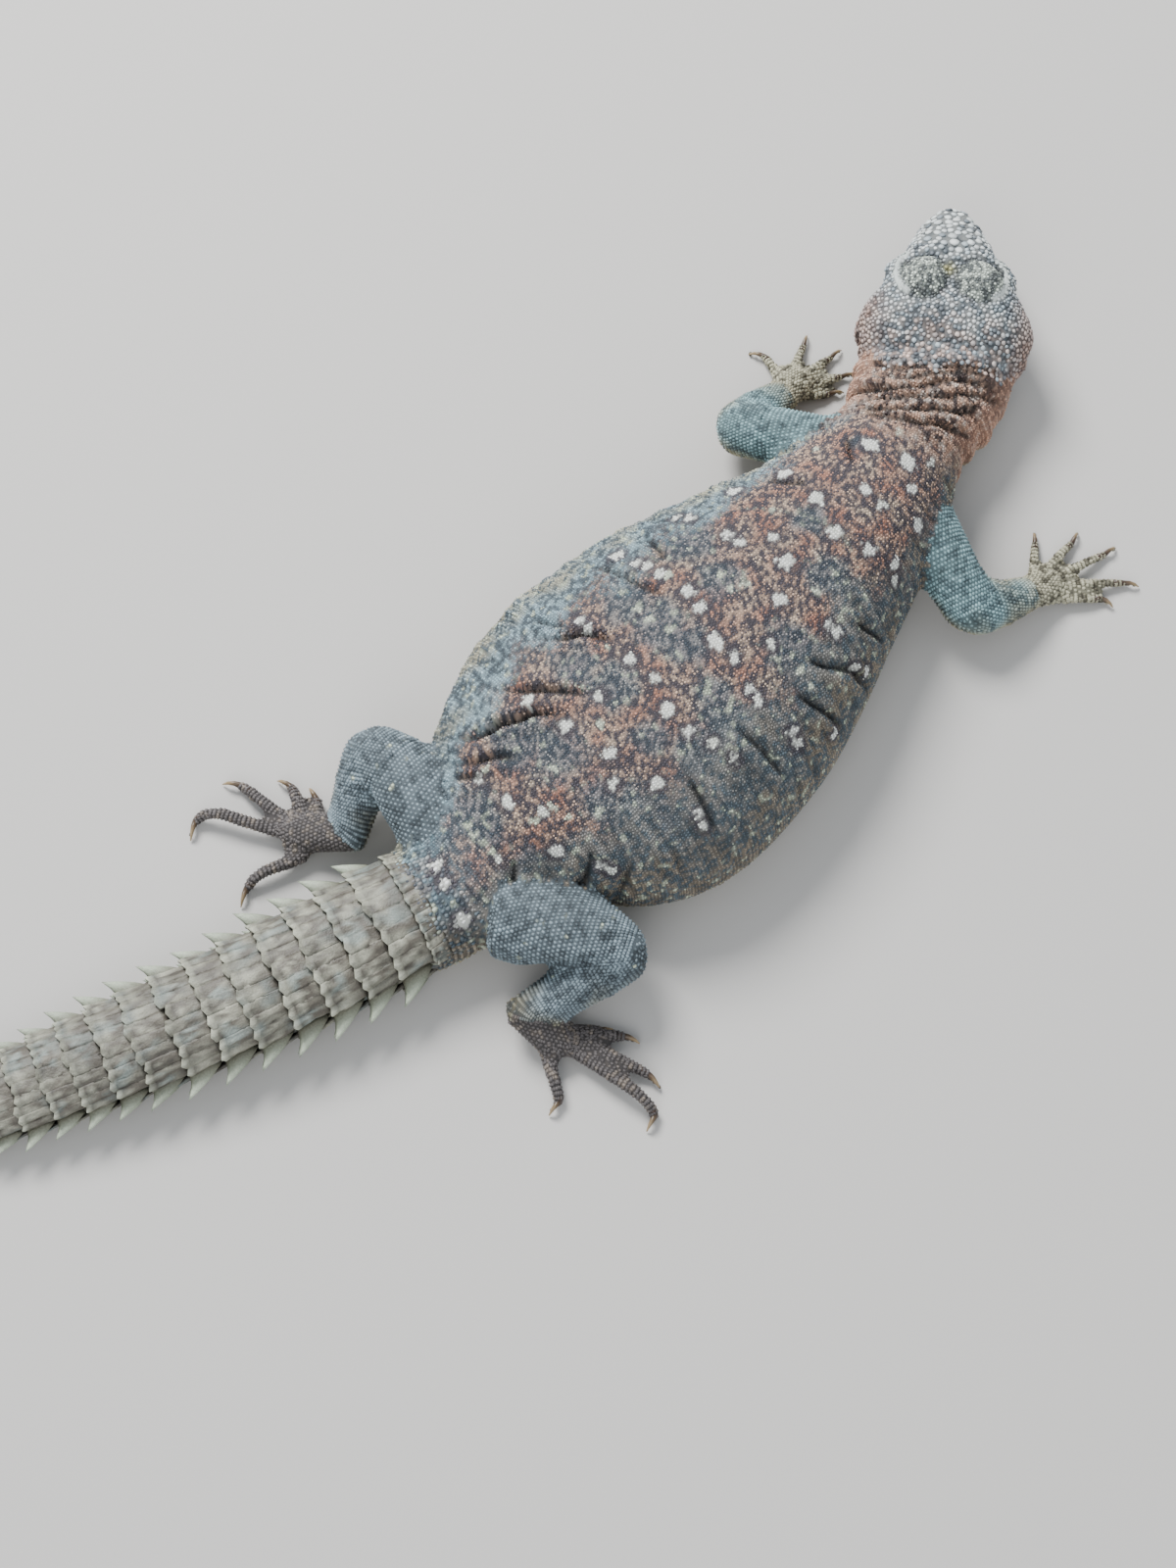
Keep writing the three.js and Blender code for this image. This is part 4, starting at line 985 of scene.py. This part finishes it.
scale_material = hide_material("scales", 0.58, 3800.0, 0.35, 0.14)
ARC_STEPS = 160
LAP = 0.6


def body_rows(start, end, first, last, along, around):
    """Rows of places round the body from one length to another and from one turn to
    another, the given distances apart: lengths, turns."""
    lengths, turns = [], []
    fan = np.linspace(first, last, ARC_STEPS)
    for row, at in enumerate(np.arange(start, end, along)):
        arc = body_point(np.full(ARC_STEPS, at), fan)
        gone = np.concatenate([[0], np.cumsum(np.linalg.norm(np.diff(arc, axis=0), axis=1))])
        count = max(int(gone[-1] / around), 3)
        spaced = (np.arange(count) + 0.5 * (row % 2) + 0.1 * draw.standard_normal(count)) / count
        turns.append(np.interp(spaced * gone[-1], gone, fan))
        lengths.append(at + 0.1 * along * draw.standard_normal(count))
    return np.concatenate(lengths), np.concatenate(turns)


def coat_body(name, parts, start, end, first, last, along, around, tall, kind):
    """Scales of one kind over the body's named parts, from start to end along it and from
    the first turn to the last, with their steps along and around, and their height."""
    lengths, turns = body_rows(start, end, first, last, along, around)
    outer = body_point(lengths, turns, 3.0)
    inner = body_point(lengths, turns, -3.0)
    kept, places, normals = outside(outer, inner, parts)
    _, back, _, _, _ = body_frame(lengths[kept])
    lies = np.concatenate([back, np.zeros((len(back), 1))], 1)
    numbers = owners(places)
    bare = ~in_head_coat(places, numbers)
    kept, places, normals = kept[bare], places[bare], normals[bare]
    lies, numbers = lies[bare], numbers[bare]
    colours = markings(places, numbers, body_place(places))
    sizes = np.tile([along * LAP, around * LAP, tall], (len(kept), 1))
    sizes *= 1 + 0.10 * draw.standard_normal((len(kept), 1))
    homes = on_map(np.stack([(lengths[kept] - start) / (end - start),
                             (turns[kept] - first) / (last - first)], 1))
    scale_coat(name, kind, places, normals, lies, sizes, colours, homes, scale_material)


nape_at, shoulder_at = length_to("nape"), length_to("shoulder")
flank_at, vent_at = length_to("flank"), length_to("vent")
coat_body("scales_back_front", ["torso", "neck"], shoulder_at, flank_at, -0.03, 0.53,
          0.60, 0.60, 0.24, GRAIN_SCALE)
coat_body("scales_back_rear", ["torso", "tail_root"], flank_at, vent_at, -0.03, 0.53,
          0.60, 0.60, 0.24, GRAIN_SCALE)
coat_body("scales_tail_root", ["tail_root", "torso"], vent_at, tail_front_end, 0.0, 1.0,
          1.0, 0.95, 0.36, KEEL_SCALE)
coat_body("scales_belly", ["torso"], shoulder_at, vent_at, 0.53, 0.97,
          1.5, 1.35, 0.20, KEEL_SCALE)
coat_body("scales_neck", ["neck", "torso"], nape_at - 3, shoulder_at, 0.0, 1.0,
          0.60, 0.60, 0.24, GRAIN_SCALE)

# Limb scales: rows round each arm, leg and toe, each scale lapping over the next towards
# the claws. The bones' lines are the paths that the rows follow. Millimetres.

LIMBS = {
    "arm_left": {
        "parts": ["upper_arm_left", "forearm_left"],
        "path": [(66.0, 19.0, 13.5), (58.7, 29.4, 12.6), (52.8, 37.8, 9.0), (67.0, 38.8, 5.2)],
        "end": "hand_left", "palm": (71.8, 41.0, 2.7), "toe": (1.45, 1.05),
        "toes": [
            [(70.6, 38.0, 2.2), (73.6, 36.0, 2.0), (76.2, 34.8, 1.0)],
            [(72.4, 39.2, 2.2), (76.6, 37.8, 2.1), (80.4, 36.4, 1.0)],
            [(72.8, 40.6, 2.2), (77.4, 40.8, 2.2), (81.4, 41.0, 1.0)],
            [(72.0, 42.2, 2.2), (75.6, 44.4, 2.2), (78.8, 46.4, 1.0)],
            [(69.8, 42.6, 2.2), (70.6, 46.4, 2.1), (71.2, 49.4, 1.0)],
        ],
        "claws": [(79.0, 33.4), (83.6, 35.0), (84.8, 41.2), (81.4, 48.2), (69.2, 52.2)],
    },
    "arm_right": {
        "parts": ["upper_arm_right", "forearm_right"],
        "path": [(69.4, 1.0, 13.5), (66.7, -11.4, 12.2), (64.4, -21.6, 9.0), (77.4, -24.3, 5.2)],
        "end": "hand_right", "palm": (82.2, -24.6, 2.7), "toe": (1.45, 1.05),
        "toes": [
            [(81.8, -21.6, 2.2), (84.6, -18.6, 2.0), (87.2, -16.0, 1.0)],
            [(84.0, -22.6, 2.2), (88.6, -21.2, 2.1), (93.0, -20.4, 1.0)],
            [(85.0, -24.6, 2.2), (91.0, -25.4, 2.2), (96.6, -26.2, 1.0)],
            [(84.4, -26.4, 2.2), (90.2, -29.8, 2.2), (95.4, -33.2, 1.0)],
            [(81.8, -27.2, 2.2), (86.0, -30.6, 2.1), (89.8, -33.2, 1.0)],
        ],
        "claws": [(88.8, -13.8), (95.8, -19.2), (99.6, -26.4), (97.6, -35.6), (90.6, -35.8)],
    },
    "leg_left": {
        "parts": ["thigh_left", "shin_left"],
        "path": [(-39.0, -2.0, 12.0), (-42.1, 13.6, 14.1), (-44.6, 26.4, 13.6), (-57.6, 17.6, 6.0)],
        "end": "foot_left", "palm": (-63.7, 24.0, 3.2), "toe": (1.8, 1.3),
        "toes": [
            [(-60.4, 22.8, 2.6), (-58.8, 25.6, 2.6), (-57.4, 28.2, 1.2)],
            [(-62.2, 25.6, 2.6), (-60.8, 29.6, 2.8), (-59.6, 33.2, 1.2)],
            [(-64.4, 26.8, 2.6), (-65.8, 33.0, 3.0), (-67.0, 39.4, 1.2)],
            [(-65.6, 25.4, 2.6), (-71.2, 32.6, 3.4), (-75.0, 38.0, 3.2), (-78.0, 39.2, 1.2)],
            [(-65.2, 20.2, 2.6), (-70.6, 21.2, 2.8), (-75.4, 22.4, 2.8), (-78.4, 22.0, 1.2)],
        ],
        "claws": [(-57.0, 31.4), (-61.0, 36.4), (-69.8, 42.4), (-81.4, 36.6), (-81.6, 19.8)],
    },
    "leg_right": {
        "parts": ["thigh_right", "shin_right"],
        "path": [(-45.0, -14.5, 12.5), (-37.3, -26.1, 13.8), (-31.0, -35.6, 12.6),
                 (-52.4, -31.8, 6.2)],
        "end": "foot_right", "palm": (-50.4, -38.4, 3.2), "toe": (1.8, 1.3),
        "toes": [
            [(-48.4, -37.8, 2.6), (-45.4, -39.8, 2.4), (-42.8, -41.4, 1.2)],
            [(-47.6, -39.2, 2.6), (-43.2, -42.8, 2.6), (-39.8, -45.2, 1.2)],
            [(-47.4, -41.0, 2.6), (-43.6, -48.4, 3.0), (-40.8, -53.8, 1.2)],
            [(-49.2, -41.6, 2.6), (-46.8, -49.6, 3.4), (-44.6, -57.2, 3.2), (-44.5, -60.6, 1.2)],
            [(-52.6, -38.2, 2.6), (-54.6, -41.6, 2.8), (-56.0, -45.4, 2.8), (-57.0, -47.6, 1.2)],
        ],
        "claws": [(-40.2, -43.4), (-38.2, -48.0), (-40.6, -57.2), (-47.8, -62.0), (-60.2, -48.4)],
    },
}


def path_rows(path, girth, along, around):
    """Rows of rays out from a bone's line: starts, ends, directions along it, shares."""
    at = smooth_line(path)
    fine_steps = np.linspace(0, 1, 200)
    fine = at(fine_steps)
    gone = np.concatenate([[0], np.cumsum(np.linalg.norm(np.diff(fine, axis=0), axis=1))])
    starts, ends, lies, shares = [], [], [], []
    for row, length in enumerate(np.arange(0, gone[-1], along)):
        share = np.interp(length, gone, fine_steps)
        middle = at(share)
        way = unit(at(share + 0.01) - at(share - 0.01))
        across = unit(np.array([way[1], -way[0], 0.0]))
        up = np.cross(across, way)
        up = up if up[2] > 0 else -up
        count = max(int(girth / around), 6)
        spin = (np.arange(count) + 0.5 * (row % 2)) / count
        for turn in spin:
            out = math.cos(turn * 2 * math.pi) * across + math.sin(turn * 2 * math.pi) * up
            starts.append(middle)
            ends.append(middle + out * girth / 8)
            lies.append(way)
            shares.append((share, turn))
    return np.array(starts), np.array(ends), np.array(lies), np.array(shares)


FILL_TRIES, FILL_ROOM = 26000, 0.36


def coat_limb(name, limbs, rows_of, kind, size):
    """Scales along several bones' lines, with others thrown on where the rows leave the
    hide bare. rows_of gives each limb's lines, parts, girth and steps."""
    places, normals, lies, homes, numbers, sizes = [], [], [], [], [], []
    lines = [line for limb in limbs for line in rows_of(LIMBS[limb])]
    for band, (path, parts, girth, along, around) in enumerate(lines):
        starts, ends, ways, shares = path_rows(path, girth, along, around)
        kept, found, facing = outside(starts, ends, parts)
        if not len(kept):
            continue
        places.append(found)
        normals.append(facing)
        lies.append(ways[kept])
        numbers.append(owners(found))
        wide = LAP * np.array([along, around, 1.0])
        uneven = 1 + 0.08 * draw.standard_normal((len(kept), 1))
        sizes.append(np.tile(wide, (len(kept), 1)) * uneven)
        in_band = (band + 0.92 * (shares[kept, 1] % 1)) / len(lines)
        homes.append(on_map(np.stack([shares[kept, 0], in_band], 1)))
    bare = np.isin(skin_parts, np.unique(np.concatenate(numbers)))
    spare, spare_normals = places_on(bare, FILL_TRIES)
    laid = np.concatenate(places)
    kept = with_room(spare, np.full(len(spare), FILL_ROOM), laid, FILL_ROOM)
    spare, spare_normals = spare[kept], spare_normals[kept]
    nearest = [np.argmin(np.sum((laid - place) ** 2, 1)) for place in spare]
    lies.append(np.concatenate(lies)[nearest])
    homes.append(np.concatenate(homes)[nearest])
    places.append(spare)
    normals.append(spare_normals)
    numbers.append(owners(spare))
    sizes.append(np.full((len(spare), 3), 0.45))
    places, normals, lies = (np.concatenate(x) for x in (places, normals, lies))
    homes, numbers, sizes = (np.concatenate(x) for x in (homes, numbers, sizes))
    sizes[:, 2] = size
    colours = markings(places, numbers, body_place(places))
    scale_coat(name, kind, places, normals, lies, sizes, colours, homes, scale_material)


LEG_GIRTH, ARM_GIRTH, PALM_GIRTH = 44, 35, 22


def upper_rows(limb):
    """The lines of an arm's or a leg's two long parts, with their girth and steps."""
    path = limb["path"]
    low = limb["parts"][1]
    thick = LEG_GIRTH if "thigh" in limb["parts"][0] else ARM_GIRTH
    return [(path[:3], limb["parts"], thick, 0.78, 0.78),
            (path[2:] + [limb["palm"]], [low], thick * 0.8, 0.76, 0.76)]


def foot_rows(limb):
    """The lines of a palm or sole and of its toes, with their girth and steps."""
    path, palm = limb["path"], limb["palm"]
    rows = [([path[-1], palm, tuple(np.array(palm) * 2 - np.array(path[-1]))],
             [limb["end"]], PALM_GIRTH, 0.85, 0.85)]
    for toe in limb["toes"]:
        rows.append(([tuple((np.array(toe[0]) + np.array(palm)) / 2)] + toe, [limb["end"]],
                     limb["toe"][0] * 2 * math.pi, 0.85, 0.95))
    return rows


coat_limb("scales_arms", ["arm_left", "arm_right"], upper_rows, KEEL_SCALE, 0.28)
coat_limb("scales_legs", ["leg_left", "leg_right"], upper_rows, KEEL_SCALE, 0.29)
coat_limb("scales_hands", ["arm_left", "arm_right"], foot_rows, KEEL_SCALE, 0.30)
coat_limb("scales_feet", ["leg_left", "leg_right"], foot_rows, KEEL_SCALE, 0.30)

# Head scales: round tubercles of uneven size set close together, largest on the snout and
# finest over the eyes. They are thrown on at random, and each keeps its own room.


def tubercle_room(points):
    """Half the distance between head scales, by their place."""
    local = head_place(points)
    forward, aside = local[:, 0], np.abs(local[:, 1])
    bulge, _ = eye_gaps(points)
    room = np.full(len(points), 0.40)
    room += 0.30 * ease(18.5, 25, forward) * ease(9, 4, aside)
    room += 0.50 * np.exp(-((forward - 23.5) / 2.4) ** 2 - ((local[:, 1] + 1.0) / 3.0) ** 2)
    room += 0.10 * np.exp(-((points[:, 2] - 7.6) / 1.6) ** 2) * ease(11, 14, forward)
    room += 0.08 * ease(6, -2, forward)
    room -= 0.13 * ease(5.5, 4.5, bulge)
    room += 0.14 * ease(9, 4, points[:, 2])
    return room


HEAD_TRIES = 90000
coated = in_head_coat(skin_points, skin_parts)
candidates, candidate_normals = places_on(coated, HEAD_TRIES)
eye_middles = []
for side in (1, -1):
    plan = HEAD_PLACE + np.array([EYE_FORWARD, side * EYE_ASIDE]) @ HEAD_AXES
    eye_middles.append(np.array([plan[0], plan[1], EYE_HEIGHT]))
_, rim_gaps = eye_gaps(candidates)
in_socket = (rim_gaps < 0.45) & (candidates[:, 2] > 13.5) | (head_openings(candidates) > 0.5)
for middle in eye_middles:
    in_socket |= np.linalg.norm(candidates - middle, axis=1) < EYE_RADIUS + 0.55
candidates, candidate_normals = candidates[~in_socket], candidate_normals[~in_socket]
rooms = tubercle_room(candidates) * (1 + 0.14 * draw.standard_normal(len(candidates)))
thrown = with_room(candidates, rooms)
head_places = candidates[thrown]
head_lies = np.tile(np.array([-math.cos(HEAD_TURN), -math.sin(HEAD_TURN), 0.0]), (len(thrown), 1))
head_rooms = rooms[thrown] * 1.04
head_sizes = np.stack([head_rooms, head_rooms, 0.10 + 0.26 * head_rooms], 1)
head_local = head_place(head_places)
head_angle = np.arctan2(head_places[:, 2] - 9.0, head_local[:, 1]) / (2 * math.pi) % 1
head_along = np.clip((head_local[:, 0] + 6) / 46, 0, 1)
head_homes = on_map(np.stack([head_along, head_angle], 1))
scale_coat("scales_head", TUBERCLE, head_places, candidate_normals[thrown], head_lies, head_sizes,
           head_colour(head_places), head_homes, scale_material)

# Tail armour: each whorl carries a ring of keeled horny plates whose rear edges stand up in
# points over the next whorl, with smaller flat ones below, and long pale spines at each
# side. The plates are one form and the spines another, bent to their places on the tail.

EVEN_WHORLS, TAPERED_WHORLS, WHORL_PITCH, LAST_PITCH = 8, 18, 7.0, 2.8
taper = WHORL_PITCH + (LAST_PITCH - WHORL_PITCH) * np.arange(TAPERED_WHORLS) / TAPERED_WHORLS
taper *= (body_length - tail_front_end - EVEN_WHORLS * WHORL_PITCH) / taper.sum()
pitches = np.concatenate([np.full(EVEN_WHORLS, WHORL_PITCH), taper])
whorl_edges = tail_front_end + np.concatenate([[0], np.cumsum(pitches)])


def tail_size(lengths):
    """The tail's girth as a share of its girth at the root."""
    return body_frame(lengths)[3][..., 0] / SECTIONS["tail_root"][2]


def form_of(shape):
    """The corners and the faces of a small shape, for setting it out many times."""
    shape.verts.index_update()
    corners = np.array([vert.co for vert in shape.verts])
    faces = [[vert.index for vert in face.verts] for face in shape.faces]
    shape.free()
    return corners, faces


NARROW_PLATES, NARROW_PITCH = 17, 3.2
PLATE_CUTS = 6
shape = bmesh.new()
bmesh.ops.create_grid(shape, x_segments=PLATE_CUTS, y_segments=PLATE_CUTS, size=1.0)
drawn = bmesh.ops.extrude_face_region(shape, geom=shape.faces[:], use_keep_orig=True)["geom"]
for item in drawn:
    if isinstance(item, bmesh.types.BMVert):
        item.co.z = -1.0
plate_form, plate_form_faces = form_of(shape)
PLATE_WIDE, PLATE_LONG, PLATE_UNDER = plate_form.T * [[1], [0.5], [-1]] + [[0], [0.5], [0]]
HORN_PALE = tint("bfc1ae")
plate_points, plate_faces, plate_colours, plate_homes = [], [], [], []


def tail_home(length, turn):
    """A place's home on the unwrapped tail."""
    start = tail_front_end - NARROW_PITCH
    share = (length - start) / (body_length - start)
    return on_map(np.array([share, turn % 1]))


def add_plate(front, rear, turn, half_turn, keel, thick, rise):
    """One keeled plate between two lengths of the tail, with its rear edge standing up."""
    pitch = rear - front
    jitter = 0.04 * draw.standard_normal(2)
    peak = 1 - np.abs(PLATE_WIDE)
    length = front - 0.05 * pitch + PLATE_LONG * pitch * (1.07 + jitter[0])
    length = length + 0.09 * pitch * peak * PLATE_LONG**4
    turns = turn + PLATE_WIDE * half_turn * 1.05 + 1.5 * jitter[1] * half_turn
    scale = tail_size(np.array(rear))
    rough = wander(np.stack([length / 2, turns * 80, 0 * turns], 1), 0.9, 22.0)
    proud = -0.45 + rise * PLATE_LONG**1.2
    proud += keel * peak**1.2 * (0.35 + 0.65 * PLATE_LONG**1.5) + 0.20 * rough
    proud -= PLATE_UNDER * thick * (1.2 - 0.55 * PLATE_LONG)
    level = body_point(length, turns)
    out = unit(level - body_point(length, turns, -1.0))
    places = level + out * (proud * scale)[:, None]
    places[:, 2] = np.maximum(places[:, 2], LOWEST)
    start = len(plate_points) * len(plate_form)
    plate_faces.extend([start + corner for corner in face] for face in plate_form_faces)
    plate_points.append(places)
    outward = abs(turn - 0.25) / 0.2 if turn < 0.5 else 0.0
    pale = ease(0.88, 1.0, PLATE_LONG) + peak**2 * ease(0.4, 0.95, PLATE_LONG)
    # A dark band just before the pale rear rim: partly the horn's own brown, partly painted shadow.
    step = ease(0.75, 0.84, PLATE_LONG) * ease(0.93, 0.86, PLATE_LONG)
    # Painted shade: the front end, under the whorl before, and the underside of the plate are
    # painted near black.
    covered_shade = np.maximum(ease(0.16, 0.0, PLATE_LONG), 0.8 * PLATE_UNDER)
    base = tail_colour(places, length)
    colour = mix(base, HORN_PALE, (0.2 + 0.35 * outward) * pale)
    colour = mix(colour, base * 0.6, 0.8 * step)
    # The plate's front is painted browner and darker: painted shadow under the rear edge of the
    # whorl before.
    colour = mix(colour, TAIL_BROWN, 0.6 * ease(0.6, 0.15, PLATE_LONG))
    colour *= (1 + 0.22 * np.clip(rough, -1, 1))[:, None]
    colour = mix(colour, TAIL_BROWN * 0.4, covered_shade)
    colour *= 1 + 0.10 * draw.standard_normal()
    plate_colours.append(np.clip(colour, 0, 1))
    patch = np.stack([PLATE_LONG, PLATE_WIDE], 1) * SCALE_PATCH
    plate_homes.append(tail_home(front, turn) + patch)


for k in range(NARROW_PLATES):
    turn = 0.03 + (k + 0.5) * 0.44 / NARROW_PLATES
    add_plate(tail_front_end - NARROW_PITCH, tail_front_end, turn, 0.22 / NARROW_PLATES,
              keel=0.25, thick=0.7, rise=0.75)
for whorl in range(len(pitches)):
    front, rear = whorl_edges[whorl], whorl_edges[whorl + 1]
    above = 10 if whorl < 14 else 8 if whorl < 20 else 6
    shift = draw.uniform(-0.35, 0.35)
    for k in range(above):
        turn = 0.055 + (k + 0.5 + shift) * 0.39 / above
        keel = 0.12 + 0.7 * (abs(turn - 0.25) / 0.2) ** 1.5
        add_plate(front, rear, turn, 0.21 / above, keel, thick=0.9, rise=1.1)
    below = 12 if whorl < 14 else 8
    for k in range(below):
        for half_row in range(2):
            middle = (front + rear) / 2
            span = (front, middle) if half_row == 0 else (middle, rear)
            turn = 0.54 + (k + 0.5) * 0.42 / below
            add_plate(*span, turn, 0.21 / below, keel=0.0, thick=0.7, rise=0.75)


def horn_mesh(name, points, faces, colours, homes):
    """A joined mesh of horny pieces with their colours and their places on the unwrap."""
    mesh = bpy.data.meshes.new(name)
    mesh.from_pydata([Vector(p) * MM for p in points], [], faces)
    shape = bmesh.new()
    shape.from_mesh(mesh)
    bmesh.ops.triangulate(shape, faces=shape.faces)
    bmesh.ops.recalc_face_normals(shape, faces=shape.faces)
    shape.to_mesh(mesh)
    shape.free()
    paint(mesh, colours)
    layer = mesh.uv_layers.new(name="OFBake")
    corners = np.zeros(len(mesh.loops), np.int32)
    mesh.loops.foreach_get("vertex_index", corners)
    layer.data.foreach_set("uv", homes[corners].astype(np.float32).ravel())
    mesh.shade_smooth()
    return mesh


horn_material = hide_material("horn", 0.52, 2600.0, 0.7, 0.38)
plate_mesh = horn_mesh("tail_plates", np.concatenate(plate_points), plate_faces,
                       np.concatenate(plate_colours), np.concatenate(plate_homes))
tail_plates = add_object("tail_plates", plate_mesh, horn_material)
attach(tail_plates, "root")
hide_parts("tail_front", "tail_middle", "tail_rear")

SPINE_ROWS = [
    {"turn": 0.012, "rise": 4.3, "swept": 0.28, "tall": 1.5},
    {"turn": -0.062, "rise": 3.0, "swept": 0.25, "tall": 1.3},
]
SPINE_SIDES, SPINE_RINGS = 8, 5
SPINE_GREY, SPINE_PALE = tint("6f6e5e"), tint("aab39f")
shape = bmesh.new()
bmesh.ops.create_cone(shape, cap_ends=True, cap_tris=True, segments=SPINE_SIDES,
                      radius1=1.0, radius2=0.0, depth=1.0)
bmesh.ops.translate(shape, verts=shape.verts, vec=(0, 0, 0.5))
for ring in range(1, SPINE_RINGS):
    bmesh.ops.bisect_plane(shape, geom=shape.verts[:] + shape.edges[:] + shape.faces[:],
                           plane_co=(0, 0, ring / SPINE_RINGS), plane_no=(0, 0, 1))
spine_form, spine_form_faces = form_of(shape)
spine_share = spine_form[:, 2]
spine_left = np.clip(1 - spine_share, 1e-6, 1)
spine_slim = spine_left**0.85 / spine_left
spine_points, spine_faces, spine_colours, spine_homes = [], [], [], []


def add_spine(front, rear, at, row):
    """One curved spine from the side of a whorl, swept back and out to its point."""
    pitch = rear - front
    scale = float(tail_size(np.array(rear)))
    turn = np.array(at)
    root = body_point((front + rear) / 2 + 0.05 * pitch, turn, 0.0, -1.3 * scale)
    reach = row["rise"] * scale * (1 + 0.07 * draw.standard_normal())
    tip = body_point(rear + pitch * row["swept"], turn, 0.0, reach)
    tip[2] = max(tip[2], body_point(rear, turn)[2] * 0.6, 0.4)
    along = unit(body_point(rear, turn) - body_point(front, turn))
    up = unit(np.cross(along, tip - root))
    bow = pitch * 0.10 * np.sin(spine_share * math.pi)
    wide = spine_form[:, 0] * spine_slim * pitch * 0.49 - bow
    tall = spine_form[:, 1] * spine_slim * row["tall"] * scale
    places = root + (tip - root) * spine_share[:, None]
    places += along * wide[:, None] + up * tall[:, None]
    places[:, 2] = np.maximum(places[:, 2], LOWEST)
    start = len(spine_points) * len(spine_form)
    spine_faces.extend([start + corner for corner in face] for face in spine_form_faces)
    spine_points.append(places)
    pale = mix(SPINE_GREY, SPINE_PALE, ease(0.15, 0.75, spine_share))
    spine_colours.append(np.clip(pale * (1 + 0.06 * draw.standard_normal()), 0, 1))
    patch = np.stack([spine_share, 0 * spine_share], 1) * SCALE_PATCH
    spine_homes.append(tail_home(front, at) + patch)


LAST_DOUBLE_WHORL = 19
for whorl in range(len(pitches)):
    for row in SPINE_ROWS if whorl < LAST_DOUBLE_WHORL else SPINE_ROWS[:1]:
        for at in (row["turn"], 0.5 - row["turn"]):
            add_spine(whorl_edges[whorl], whorl_edges[whorl + 1], at, row)
spine_mesh = horn_mesh("tail_spines", np.concatenate(spine_points), spine_faces,
                       np.concatenate(spine_colours), np.concatenate(spine_homes))
tail_spines = add_object("tail_spines", spine_mesh, horn_material)
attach(tail_spines, "root")

# Claws: curved horn hooks, dark at the root and cream at the point, one on each toe. Each
# is a loft of rings that starts inside the toe and arches down to the floor.

CLAW_RINGS, CLAW_SIDES = 6, 8
CLAW_POINT = 0.08
CLAW_ROOT, CLAW_TIP = tint("3a2a20"), tint("b79f78")
claw_shares = np.linspace(0, 0.97, CLAW_RINGS)
claw_angles = np.arange(CLAW_SIDES) * 2 * math.pi / CLAW_SIDES
claw_shape = bmesh.new()
claw_rows = []
for limb in LIMBS.values():
    radius = limb["toe"][1]
    for toe, (x, y) in zip(limb["toes"], limb["claws"]):
        base, before = np.array(toe[-1]), np.array(toe[-2])
        tip = np.array([x, y, 0.3])
        arch = base + (tip - base) * 0.5
        arch[2] = base[2] + radius * 0.62
        line = smooth_line([base + (before - base) * 0.35, base, arch, tip])
        rings = []
        for share in claw_shares:
            middle = line(np.array(share))
            way = unit(line(np.array(share + 0.02)) - line(np.array(share - 0.02)))
            across = unit(np.array([way[1], -way[0], 0.0]))
            up = np.cross(across, way)
            up = up if up[2] > 0 else -up
            thick = radius * 0.80 * (1 - share) ** 0.75 + CLAW_POINT
            ring = [middle + across * math.cos(a) * thick * 0.8 + up * math.sin(a) * thick
                    for a in claw_angles]
            rings.append(np.array([(p[0], p[1], max(p[2], 0.03)) for p in ring]))
        loft(claw_shape, rings)
        claw_rows += list(np.repeat(claw_shares, CLAW_SIDES))
bmesh.ops.recalc_face_normals(claw_shape, faces=claw_shape.faces)
claw_mesh = bpy.data.meshes.new("claws")
claw_shape.to_mesh(claw_mesh)
claw_shape.free()
paint(claw_mesh, mix(CLAW_ROOT, CLAW_TIP, ease(0.45, 1.0, np.array(claw_rows))))
claw_mesh.shade_smooth()
claw_material = hide_material("claw_horn", 0.35, 1500.0, 0.15, 0.2)
claws = add_object("claws", claw_mesh, claw_material)
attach(claws, "root")

# Eyes: small dark wet balls deep under the lids, with a brown iris round the pupil. Each
# is turned outwards, and its skin socket closes over it.

EYE_SEGMENTS, EYE_RINGS = 56, 40
PUPIL_BLACK, IRIS_BROWN, EYE_DARK = tint("0b0807"), tint("6b4a28"), tint("1b1410")
for side, name, middle in ((1, "left", eye_middles[0]), (-1, "right", eye_middles[1])):
    out = unit(np.array([*(np.array([0.25, side]) @ HEAD_AXES), 0.15]))
    eye_shape = bmesh.new()
    bmesh.ops.create_uvsphere(eye_shape, u_segments=EYE_SEGMENTS, v_segments=EYE_RINGS,
                              radius=EYE_RADIUS * MM)
    turn = Vector((0, 0, 1)).rotation_difference(Vector(out)).to_matrix().to_4x4()
    bmesh.ops.transform(eye_shape, matrix=Matrix.Translation(Vector(middle) * MM) @ turn,
                        verts=eye_shape.verts)
    eye_mesh = bpy.data.meshes.new("eyeball_" + name)
    eye_shape.to_mesh(eye_mesh)
    eye_shape.free()
    facing = unit(mesh_points(eye_mesh) - middle) @ out
    angle = np.degrees(np.arccos(np.clip(facing, -1, 1)))
    colour = mix(PUPIL_BLACK, IRIS_BROWN, ease(14, 17, angle) * ease(40, 34, angle))
    colour = mix(colour, EYE_DARK, ease(36, 44, angle))
    paint(eye_mesh, colour)
    eye_mesh.shade_smooth()
    eye_material = hide_material("wet_eye_" + name, 0.2, 900.0, 0.02, 0.12)
    eyeball = add_object("eyeball_" + name, eye_mesh, eye_material)
    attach(eyeball, "root")
    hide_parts("eye_" + name)
